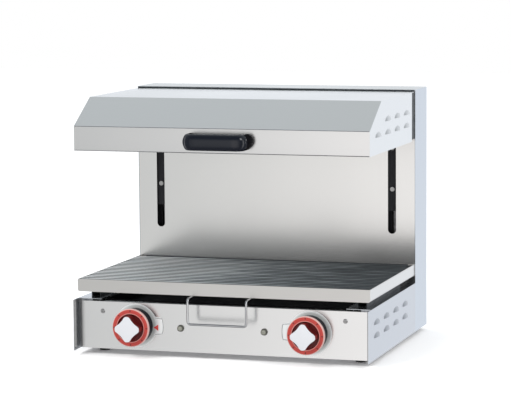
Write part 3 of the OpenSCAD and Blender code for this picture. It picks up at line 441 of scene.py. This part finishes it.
clouded(slide_bar, grain(slide_bar, 20.0, (40, 40, 2)), (0.012, 0.012, 0.015), (0.03, 0.03, 0.035))
dress(slide_bar, "slider_left", "slider_right", "guide_rail_left", "guide_rail_right")
chain_grey = finish_of("chain_steel", (0.25, 0.25, 0.26), 0.4, 1.0)
clouded(chain_grey, grain(chain_grey, 300.0), (0.16, 0.16, 0.17), (0.33, 0.33, 0.34))
dress(chain_grey, "chain_loops")


# ---- Hood skins ------------------------------------------------------------------------------
# Front, slope and top in one folded sheet, and two louvred sides welded to it. The folds have the
# small outer radius that a press brake leaves.
# The hood's side sheet is tinted a little darker than its front: painted shade.
hood_front_sheet = rolled_sheet("rolled_steel_hood", (0.80, 0.80, 0.80), 0)
hood_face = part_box("hood_side_right")[1][0] - louvre_out
hood_side_sheet = rolled_sheet("rolled_steel_hood_side", (0.78, 0.79, 0.79), 1, bulge=hood_face)


def fillet(corners, radius, steps=6):
    """A path through the corners, with each inner corner replaced by an arc that touches both of its
    sides: the arc starts the radius times the tangent of half the turn before the corner."""
    path = [corners[:1]]
    for before, corner, after in zip(corners[:-2], corners[1:-1], corners[2:]):
        into = (corner - before) / np.linalg.norm(corner - before)
        out = (after - corner) / np.linalg.norm(after - corner)
        turn = math.acos(float(np.clip(into @ out, -1, 1)))
        start = corner - into * radius * math.tan(turn / 2)
        sense = np.sign(into[0] * out[1] - into[1] * out[0])
        aside = np.array([-into[1], into[0]]) * sense
        swept = np.linspace(0, turn, steps + 1)[:, None]
        path.append(start + into * radius * np.sin(swept) + aside * radius * (1 - np.cos(swept)))
    path.append(corners[-1:])
    return np.concatenate(path)


def carried_along_x(name, outline, middle, left, right):
    """A solid with one closed outline in Y and Z from left to right: both ends close on the middle,
    which has a point for each of the outline's."""
    sections = ((left, middle), (left, outline), (right, outline), (right, middle))
    rows = [np.column_stack([np.full(len(ring), x), ring]) for x, ring in sections]
    return grid_piece(name, np.stack(rows), closed_v=True, solid=True)


def folded_sheet(name, corners, radius, thick, left, right):
    """A sheet folded along a path in Y and Z and carried along X: the outer path and the same path
    moved inwards by the thickness make one closed outline."""
    outer = fillet(corners, radius)
    run = np.gradient(outer, axis=0)
    run /= np.linalg.norm(run, axis=1)[:, None]
    inner = outer + np.stack([run[:, 1], -run[:, 0]], -1) * thick
    between = (outer + inner) / 2
    outline = np.concatenate([outer, inner[::-1]])
    return carried_along_x(name, outline, np.concatenate([between, between[::-1]]), left, right)


wrap_low, wrap_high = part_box("hood_wrap")
wrap_front, wrap_foot = wrap_low[1], wrap_low[2]
hem, front_rise, slope_run, fold_r, sheet_t = 0.015, 0.0485, 0.088, 0.0022, 0.001
wrap_corners = np.array(
    [
        (wrap_front + hem, wrap_foot),
        (wrap_front, wrap_foot),
        (wrap_front, wrap_foot + front_rise),
        (wrap_front + slope_run, wrap_high[2]),
        (wrap_high[1], wrap_high[2]),
    ]
)
hood_skin = folded_sheet("hood_skin", wrap_corners, fold_r, sheet_t, wrap_low[0], wrap_high[0])
smooth(hood_skin, 25)
hood_skin.data.materials.append(hood_front_sheet)
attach(hood_skin, "hood")
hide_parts("hood_wrap")
dress(hood_side_sheet, "hood_side_left", "hood_side_right")


# ---- Carrier at the back of the hood ---------------------------------------------------------
# A channel painted slate black, which the hood is bolted to and the lift arms are welded on. Its
# upper edge is turned up as a thin round-topped lip behind the hood's top sheet; this dark lip is
# painted shade, standing in for the shadow in the gap between the hood's top and the column.
slate = finish_of("slate_paint", (0.030, 0.038, 0.042), 0.42, Specular_IOR_Level=0.3)
slate_cloud = grain(slate, 60.0)
clouded(slate, slate_cloud, (0.024, 0.031, 0.035), (0.036, 0.045, 0.050), (0.30, 0.48))
relief(slate, slate_cloud, 0.00002)
dress(slate, "hood_carrier")
carrier_low, carrier_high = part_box("hood_carrier")
lip_r, lip_inset, lip_over = 0.0006, 0.0007, 0.0022
lip_turn = np.linspace(0, math.pi, 9)
lip_across = lip_r * np.concatenate([np.cos(lip_turn), [-1, 1]])
lip_z = np.concatenate([wrap_high[2] + lip_over + lip_r * np.sin(lip_turn), [carrier_high[2]] * 2])
lip_outline = np.stack([carrier_high[1] - lip_inset + lip_across, lip_z], -1)
lip_middle = np.repeat(lip_outline.mean(0)[None], len(lip_outline), 0)
# The dark lip is painted shade for the gap above the hood's top.
shade_lip = carried_along_x("shade_lip", lip_outline, lip_middle, carrier_low[0], carrier_high[0])
smooth(shade_lip, 40)
shade_lip.data.materials.append(slate)
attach(shade_lip, "hood")


# ---- Reflector, elements and guard under the hood --------------------------------------------
# Bright pan, two sheathed elements with a dull oxide skin, a welded guard of plated wire, and the
# mineral wool blanket that is packed between the pan and the hood's top.
mirror = finish_of("bright_reflector", (0.86, 0.86, 0.85), 0.16, 1.0)
shine(mirror, grain(mirror, 14.0), 0.12, 0.26)
dress(mirror, "reflector")
sheath = finish_of("element_sheath", (0.16, 0.13, 0.11), 0.5, 0.7)
clouded(sheath, grain(sheath, 70.0), (0.10, 0.085, 0.075), (0.24, 0.19, 0.16), (0.42, 0.62))
dress(sheath, "heating_element_left", "heating_element_right")
wire_plate = finish_of("plated_wire", (0.74, 0.75, 0.76), 0.22, 1.0)
shine(wire_plate, grain(wire_plate, 50.0), 0.16, 0.26)
dress(wire_plate, "element_guard")
wool = finish_of("mineral_wool", (0.62, 0.55, 0.36), 0.95)
wool_cloud = grain(wool, 260.0, (1, 1, 4), 6.0)
clouded(wool, wool_cloud, (0.48, 0.41, 0.25), (0.72, 0.65, 0.45))
relief(wool, wool_cloud, 0.0012)
dress(wool, "insulation")


# ---- Screws ----------------------------------------------------------------------------------
# Pan-headed stainless screws with a cross recess, driven into the brackets, the body's flanges,
# the slide bars and the hood handle.
screw_steel = finish_of("screw_steel", (0.42, 0.42, 0.42), 0.25, 1.0)
shine(screw_steel, grain(screw_steel, 400.0), 0.28, 0.40)
dress(screw_steel, "panel_screws", "back_screws", "slider_screws", "handle_screws")


# ---- Drip tray -------------------------------------------------------------------------------
# Pressed steel with a black vitreous enamel, slightly speckled and with almost no gloss: its
# near-black is partly the enamel, partly painted shade in the gap under the grate. It rests on two
# ledges under the grate.
# Near black with almost no gloss: partly the enamel, partly painted shade.
enamel_and_shade = finish_of("black_enamel", (0.004, 0.004, 0.005), 0.42, Specular_IOR_Level=0.04)
specks = [(0.62, (0.004, 0.004, 0.005)), (0.74, (0.02, 0.022, 0.024))]
tones(enamel_and_shade, grain(enamel_and_shade, 500.0, detail=1.0), specks)
dress(enamel_and_shade, "drip_tray")


# ---- Feet, gland, regulators and leads -------------------------------------------------------
# Moulded rubber feet, a nylon gland, and the closed switches with their leads behind the panel.
# The leads end in a glazed ceramic block.
rubber = finish_of("black_rubber", (0.02, 0.02, 0.02), 0.75)
rubber_cloud = grain(rubber, 300.0)
shine(rubber, rubber_cloud, 0.65, 0.85)
relief(rubber, rubber_cloud, 0.00005, 0.0008)
dress(rubber, "feet")
nylon = finish_of("black_nylon", (0.018, 0.018, 0.02), 0.45)
nylon_cloud = grain(nylon, 350.0)
shine(nylon, nylon_cloud, 0.38, 0.55)
relief(nylon, nylon_cloud, 0.00003, 0.0006)
dress(nylon, "cable_gland", "energy_regulators", "wire_loom")
porcelain = finish_of("block_ceramic", (0.82, 0.80, 0.74), 0.35)
clouded(porcelain, grain(porcelain, 120.0), (0.76, 0.74, 0.68), (0.85, 0.83, 0.78))
dress(porcelain, "terminal_block")


# ---- Grate -----------------------------------------------------------------------------------
# A folded bright frame, painted dark grey on its back member, and round bars welded across it.
# The bars' colour is painted light and shade: light on the left and dark on the right, light along
# their tops and dark below them. Runners folded from strip, and a handle bent from chromed wire.
grate_sheet = rolled_sheet("grate_frame_steel", (0.76, 0.75, 0.73), 0, (0.28, 0.36))
sheet_tree = grate_sheet.node_tree
sheet_place = own_place(grate_sheet)
back_rim_y, back_rim_half = 0.10, 0.285
# The frame's back member is painted dark grey.
at_back = reckon(sheet_tree, "GREATER_THAN", sheet_place["Y"], back_rim_y)
in_rim = reckon(sheet_tree, "LESS_THAN", reckon(sheet_tree, "ABSOLUTE", sheet_place["X"]), back_rim_half)
repaint(grate_sheet, reckon(sheet_tree, "MULTIPLY", at_back, in_rim), (0.20, 0.215, 0.225))
dress(grate_sheet, "grate_frame")
bars = finish_of("bars_light_and_shade", (0.20, 0.22, 0.235), 0.3, 0.35)
bars_tree = bars.node_tree
bars_cloud = grain(bars, 3.0, (3.0, 40, 40), 4.0)
bars_place = own_place(bars)
# The bars run from light on the left to dark on the right, with a random tone from the noise: painted
# light.
bars_run = reckon(bars_tree, "MULTIPLY_ADD", bars_place["X"], -0.80, 0.25)
bars_light_and_tone = reckon(bars_tree, "ADD", bars_run, reckon(bars_tree, "MULTIPLY", bars_cloud, 0.5))
light_and_tone_stops = (
    (0.30, (0.12, 0.138, 0.148)),
    (0.46, (0.38, 0.42, 0.44)),
    (0.58, (0.84, 0.90, 0.92)),
    (0.70, (0.98, 1.0, 1.0)),
)
tones(bars, bars_light_and_tone, light_and_tone_stops)
# Below their tops the bars are painted dark: painted shade under the light tops.
rods_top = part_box("grate_rods")[1][2]
shade_from, shade_to = rods_top - 0.0014, rods_top - 0.0007
painted_shade_below_tops = ranged(bars_tree, bars_place["Z"], shade_from, shade_to, 1.0, 0.0)
repaint(bars, painted_shade_below_tops, (0.06, 0.068, 0.072))
shine(bars, bars_cloud, 0.36, 0.29)
dress(bars, "grate_rods", "grate_crossbars")
strip = finish_of("runner_strip", (0.06, 0.065, 0.07), 0.45, 0.6)
shine(strip, grain(strip, 50.0), 0.36, 0.55)
dress(strip, "grate_runners")
chrome = finish_of("chromed_wire", (0.70, 0.71, 0.72), 0.07, 1.0)
shine(chrome, grain(chrome, 60.0), 0.05, 0.14)
dress(chrome, "grate_handle")


# ---- Hood handle -----------------------------------------------------------------------------
# Moulded in black phenolic resin and held by two screws from inside the hood: one soft oval section
# carried along a bar, round two bends and back to the hood, with rounded ends. The bar is polished
# and the posts are left matt.
resin = finish_of("black_resin", (0.008, 0.010, 0.016), 0.09, Specular_IOR_Level=0.4)
shine(resin, grain(resin, 90.0), 0.07, 0.13)
matt_resin = finish_of("matt_resin", (0.004, 0.004, 0.006), 0.5, IOR=1.05)
shine(matt_resin, grain(matt_resin, 90.0), 0.42, 0.58)
handle_low, handle_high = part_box("hood_handle")
handle_half = (handle_high[2] - handle_low[2]) / 2
bar_half, handle_turn, end_r = 0.008, 0.018, 0.012
post_at = handle_high[0] - bar_half
bar_at = handle_low[1] + bar_half
turn = np.linspace(0, math.pi / 2, 15)[1:-1]
bend_x, bend_y = (handle_turn * (1 - wave(turn)) for wave in (np.cos, np.sin))
run_x = np.concatenate([[post_at, post_at], post_at - bend_x, np.linspace(post_at - handle_turn, 0, 9)])
run_y = np.concatenate([[handle_high[1], bar_at + handle_turn], bar_at + bend_y, np.full(9, bar_at)])
run_x = np.concatenate([run_x, -run_x[-2::-1]])
run_y = np.concatenate([run_y, run_y[-2::-1]])
run_way = np.gradient(np.stack([run_x, run_y], -1), axis=0)
run_way /= np.linalg.norm(run_way, axis=1)[:, None]

# The section is a superellipse: each half-width times the sine or cosine to a power below one.
round_it = np.linspace(0, 2 * math.pi, 49)[:-1]
power = 2 / 2.15
section_out = bar_half * np.sign(np.cos(round_it)) * np.abs(np.cos(round_it)) ** power
section_up = handle_half * np.sign(np.sin(round_it)) * np.abs(np.sin(round_it)) ** power
bar_x = run_x[:, None] + run_way[:, 1:2] * section_out[None, :]
bar_y = run_y[:, None] - run_way[:, 0:1] * section_out[None, :]

# Near each end its height falls along a quarter circle, so that the ends are rounded.
end_in = np.maximum(np.abs(bar_x) - (handle_high[0] - end_r), 0)
end_up = handle_half - end_r + np.sqrt(np.maximum(end_r**2 - end_in**2, 0))
bar_z = (handle_low[2] + handle_high[2]) / 2 + section_up[None, :] * end_up / handle_half
bar_points = np.stack([bar_x, bar_y, bar_z], -1)
ends = bar_points.mean(1, keepdims=True).repeat(len(round_it), 1)
bridge_points = np.concatenate([ends[:1], bar_points, ends[-1:]])
bridge = grid_piece("bridge_handle", bridge_points, closed_v=True, solid=True)
smooth(bridge, 40)
bridge.data.materials.append(resin)
bridge.data.materials.append(matt_resin)
polished_depth = 2.2 * bar_half
face_y = np.array([face.center.y for face in bridge.data.polygons])
on_posts = face_y > handle_low[1] + polished_depth
bridge.data.polygons.foreach_set("material_index", on_posts.astype(np.int32))
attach(bridge, "hood")
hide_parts("hood_handle")


# ---- Dial plates and knobs -------------------------------------------------------------------
# Each knob is a black skirt and a red dial with a four-cornered grip, pushed on the regulator's
# spindle in front of a bright plate. The plate's disc round the knob is painted darker than its tab:
# painted shade of the dark knob on the plate.
def from_axis(made, centre, reach):
    """Distance from the nearer of two axes along Y, at plus and minus the centre's X, as a share of
    the reach."""
    tree, place = made.node_tree, own_place(made)
    aside = reckon(tree, "SUBTRACT", reckon(tree, "ABSOLUTE", place["X"]), abs(centre[0]))
    above = reckon(tree, "SUBTRACT", place["Z"], centre[2])
    across_squared, up_squared = (reckon(tree, "MULTIPLY", length, length) for length in (aside, above))
    away_squared = reckon(tree, "ADD", across_squared, up_squared)
    return reckon(tree, "DIVIDE", reckon(tree, "SQRT", away_squared), reach)


dial_low, dial_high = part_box("knob_dial_right")
knob_at = (dial_low + dial_high) / 2
plate_metal = finish_of("plate_metal", (0.86, 0.88, 0.87), 0.31, 0.5)
shine(plate_metal, grain(plate_metal, 40.0), 0.29, 0.35)
# The disc round the knob is painted darker than the tab: painted shade of the knob.
plate_stops = [(0.66, (0.74, 0.76, 0.75)), (0.70, (0.98, 1.0, 1.0))]
tones(plate_metal, from_axis(plate_metal, knob_at, 0.060), plate_stops)
dress(plate_metal, "dial_plates", "knob_spindle_left", "knob_spindle_right")
skirt_black = finish_of("skirt_black", (0.004, 0.005, 0.010), 0.12, IOR=1.08)
shine(skirt_black, grain(skirt_black, 120.0), 0.10, 0.20)
dress(skirt_black, "knob_skirt_left", "knob_skirt_right")
red = finish_of("dial_red", (0.60, 0.06, 0.045), 0.28, Specular_IOR_Level=0.4)
# Inside the ring the dial is painted a dark wine red, which is painted shade in the recess round the grip,
# and the thin pale pink ring at the ring's inner edge is a painted highlight; the outer edge has a pale
# rim.
red_stops = (
    (0.60, (0.13, 0.010, 0.010)),
    (0.685, (0.30, 0.022, 0.020)),
    (0.70, (0.74, 0.34, 0.30)),
    (0.72, (0.74, 0.26, 0.23)),
    (0.735, (0.54, 0.056, 0.045)),
    (0.895, (0.58, 0.066, 0.052)),
    (0.910, (0.78, 0.50, 0.46)),
)
tones(red, from_axis(red, knob_at, 0.040), red_stops)
shine(red, grain(red, 90.0), 0.28, 0.36)
dress(red, "knob_dial_left", "knob_dial_right")


# ---- Caps of the knobs -----------------------------------------------------------------------
# White moulded caps with four corners and hollowed sides, rounded over at the rim and slightly
# crowned, pressed on the end of each grip.
cap_white = finish_of("cap_white", (0.76, 0.77, 0.80), 0.22, Coat_Weight=0.3)
shine(cap_white, grain(cap_white, 200.0), 0.18, 0.26)
cap_reach, cap_fullness, hollow_r, hollow_deep = 0.0250, 0.0034, 0.042, 0.0014
cap_side = (cap_reach + cap_fullness) / math.sqrt(2)
hollow_at = cap_side + hollow_r - hollow_deep


def cap_outline(angle):
    """The nearest of three limits along a ray: a circle, the flat side of a square that stands on a
    corner, and the near side of a larger circle that hollows that side."""
    from_side = (angle % (math.pi / 2)) - math.pi / 4
    flat = cap_side / np.cos(from_side)
    inside = np.maximum(hollow_r**2 - (hollow_at * np.sin(from_side)) ** 2, 0)
    hollow = hollow_at * np.cos(from_side) - np.sqrt(inside)
    hollow = np.where(inside > 0, hollow, flat)
    return np.minimum(np.minimum(cap_reach, flat), hollow)


def cap_piece(side):
    """Rings of points from the middle of the crowned face, over a quarter-round rim and down the
    side, to the middle of the back: each ring is the outline times a share, less an inset."""
    low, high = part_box("knob_cap_" + side)
    middle, thick = (low + high) / 2, high[1] - low[1]
    angle = np.linspace(0, 2 * math.pi, 97)[:-1]
    rim, crown_rise, shoulder = 0.0009, 0.0004, [0.0015, 0.0018]
    quarter = np.linspace(0, math.pi / 2, 6)[1:]
    face = np.linspace(0, 1, 7)
    share = np.concatenate([face, np.ones(8), [0.5, 0.0]])
    inset = np.concatenate([face * rim, rim * (1 - np.sin(quarter)), np.zeros(5)])
    falling = crown_rise * (1 - np.cos(face * math.pi / 2))
    over_rim = crown_rise + rim * (1 - np.cos(quarter))
    depth = np.concatenate([falling, over_rim, shoulder, [thick] * 3])
    drawn_in = inset * (share > 0)
    radius = np.maximum(cap_outline(angle)[None, :] * share[:, None] - drawn_in[:, None], 0)
    points = np.stack(
        [
            middle[0] + radius * np.cos(angle)[None, :],
            low[1] + np.repeat(depth[:, None], len(angle), 1),
            middle[2] + radius * np.sin(angle)[None, :],
        ],
        -1,
    )
    piece = grid_piece("cap_" + side, points, closed_v=True, solid=True)
    smooth(piece, 40)
    piece.data.materials.append(cap_white)
    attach(piece, side + "_knob")
    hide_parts("knob_cap_" + side)


for side in ("left", "right"):
    cap_piece(side)


# ---- Marks on the dials and pointers on the plates -------------------------------------------
# Eight short bars printed on each dial's rim, a red triangle printed on each plate's tab that
# points to the knob, and a dark line round the tab, which is painted shade along the plate's edge.
print_t, print_out = 0.00015, 0.0001


def printed(name, corners, face):
    """A thin plate in front of a face for each row of corners, which are four points around it in X
    and Z: a front and a back loop, closed by their middles."""
    count = len(corners)
    middle = corners.mean(1, keepdims=True).repeat(4, 1)
    loops = np.stack([middle, corners, corners, middle], 1)
    y = face - print_out + np.array([0, 0, print_t, print_t])
    points = np.stack([loops[..., 0], y[None, :, None].repeat(count, 0).repeat(4, 2), loops[..., 1]], -1)
    i = np.arange(3)[:, None]
    j = np.arange(4)[None, :]
    square = np.stack([i * 4 + j, (i + 1) * 4 + j, (i + 1) * 4 + (j + 1) % 4, i * 4 + (j + 1) % 4], -1)
    faces = (square.reshape(-1, 4)[None] + np.arange(count)[:, None, None] * 16).reshape(-1, 4)
    return mesh_piece(name, points, faces, True)


def printed_line(name, path, width, face):
    """A flat line of even width in front of a face, along a path in X and Z: four points around it at
    each step, and both ends closed on the path."""
    run = np.gradient(path, axis=0)
    run /= np.linalg.norm(run, axis=1)[:, None]
    aside = np.stack([-run[:, 1], run[:, 0]], -1) * width / 2
    loop = np.stack([path + aside, path - aside, path - aside, path + aside], 1)
    loop = np.concatenate([path[:1, None].repeat(4, 1), loop, path[-1:, None].repeat(4, 1)])
    y = np.tile(face - print_out + np.array([0, 0, print_t, print_t]), (len(loop), 1))
    return grid_piece(name, np.stack([loop[..., 0], y, loop[..., 1]], -1), closed_v=True, solid=True)


# The dark line round each tab is painted shade along the plate's edge.
edge_shade_ink = finish_of("tab_edge_shade_ink", (0.04, 0.045, 0.05), 0.4)
clouded(edge_shade_ink, grain(edge_shade_ink, 300.0), (0.03, 0.034, 0.04), (0.06, 0.066, 0.07))
mark_ink = finish_of("dial_mark_ink", (0.05, 0.012, 0.012), 0.4)
clouded(mark_ink, grain(mark_ink, 300.0), (0.03, 0.008, 0.008), (0.08, 0.02, 0.018))
pointer_ink = finish_of("pointer_ink", (0.72, 0.07, 0.06), 0.35)
clouded(pointer_ink, grain(pointer_ink, 200.0), (0.66, 0.055, 0.05), (0.76, 0.08, 0.07))
dial_out = 0.034
mark_in, mark_end, mark_half = 0.0318, 0.0352, 0.0009
tip_r, base_r, arrow_half, arrow_drop = 0.0363, 0.0462, 0.0062, 0.0028
tab_r, tab_swing, tab_line = 0.0564, 15.2, 0.0009
neck_x, neck_z = np.array([0.0400, 0.0470]), np.array([0.0165, 0.0156])
dial_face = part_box("front_panel")[0][1] - dial_out
plate_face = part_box("dial_plates")[0][1]
turned = np.radians(np.arange(8) * 45)
out = np.stack([np.cos(turned), np.sin(turned)], -1)
aside = np.stack([-np.sin(turned), np.cos(turned)], -1)
mark_corners = ((mark_in, -mark_half), (mark_in, mark_half), (mark_end, mark_half), (mark_end, -mark_half))
swing = np.radians(np.linspace(tab_swing, -tab_swing, 13))
tab_x = np.concatenate([neck_x, tab_r * np.cos(swing), neck_x[::-1]])
tab_z = np.concatenate([neck_z, tab_r * np.sin(swing), -neck_z[::-1]])
for side, sign in (("left", -1), ("right", 1)):
    hub = np.array([sign * knob_at[0], knob_at[2]])
    bars_round = np.stack([hub + out * r + aside * w for r, w in mark_corners], 1)
    marks = printed("dial_marks_" + side, bars_round, dial_face)
    marks.data.materials.append(mark_ink)
    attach(marks, side + "_knob")
    tip, base, drop = hub[0] - sign * tip_r, hub[0] - sign * base_r, hub[1] - arrow_drop
    arrow = np.array([[[tip, drop], [base, drop + arrow_half], [base, drop], [base, drop - arrow_half]]])
    pointer = printed("pointer_" + side, arrow, plate_face)
    pointer.data.materials.append(pointer_ink)
    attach(pointer, "cabinet")
    # A dark line round the tab: painted shade along the plate's edge.
    tab_path = np.stack([hub[0] - sign * tab_x, hub[1] + tab_z], -1)
    edge_shade = printed_line("tab_edge_shade_" + side, tab_path, tab_line, plate_face)
    edge_shade.data.materials.append(edge_shade_ink)
    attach(edge_shade, "cabinet")


# ---- Pilot lamps -----------------------------------------------------------------------------
# Grey plastic bezels pushed through the panel, each with a low smoked dome that is dark when off.
# Both are moulded, and the dome snaps into the bezel.
bezel_grey = finish_of("bezel_grey", (0.10, 0.10, 0.085), 0.35, Specular_IOR_Level=0.4)
clouded(bezel_grey, grain(bezel_grey, 400.0), (0.085, 0.085, 0.07), (0.13, 0.13, 0.11))
dress(bezel_grey, "pilot_bezels")
dome_grey = finish_of("lamp_dome", (0.30, 0.30, 0.26), 0.18, Coat_Weight=0.3)
clouded(dome_grey, grain(dome_grey, 500.0), (0.24, 0.24, 0.20), (0.36, 0.36, 0.31))
lens_low, lens_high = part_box("pilot_lenses")
lens_r = (lens_high[2] - lens_low[2]) / 2
lens_x = (abs(lens_low[0]) + lens_high[0]) / 2 - lens_r
lens_z = (lens_low[2] + lens_high[2]) / 2
dome_rise = 0.0012

# Rings from the middle of the dome to its rim, then straight back and in to the middle: the radius
# goes by the sine and the depth by one minus the cosine of the same angle.
tilt = np.linspace(0, math.pi / 2, 9)
radius = np.concatenate([lens_r * np.sin(tilt), [lens_r, 0.0]])
depth = np.concatenate([dome_rise * (1 - np.cos(tilt)), [lens_high[1] - lens_low[1]] * 2])
angle = np.linspace(0, 2 * math.pi, 33)[:-1]
ring_x, ring_z = radius[:, None] * np.cos(angle)[None, :], radius[:, None] * np.sin(angle)[None, :]
ring_y = lens_low[1] + np.repeat(depth[:, None], len(angle), 1)
for side, sign in (("left", -1), ("right", 1)):
    dome_points = np.stack([sign * lens_x + ring_x, ring_y, lens_z + ring_z], -1)
    lamp_dome = grid_piece("lamp_dome_" + side, dome_points, closed_v=True, solid=True)
    smooth(lamp_dome, 40)
    lamp_dome.data.materials.append(dome_grey)
    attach(lamp_dome, "cabinet")
    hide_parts("pilot_lenses")
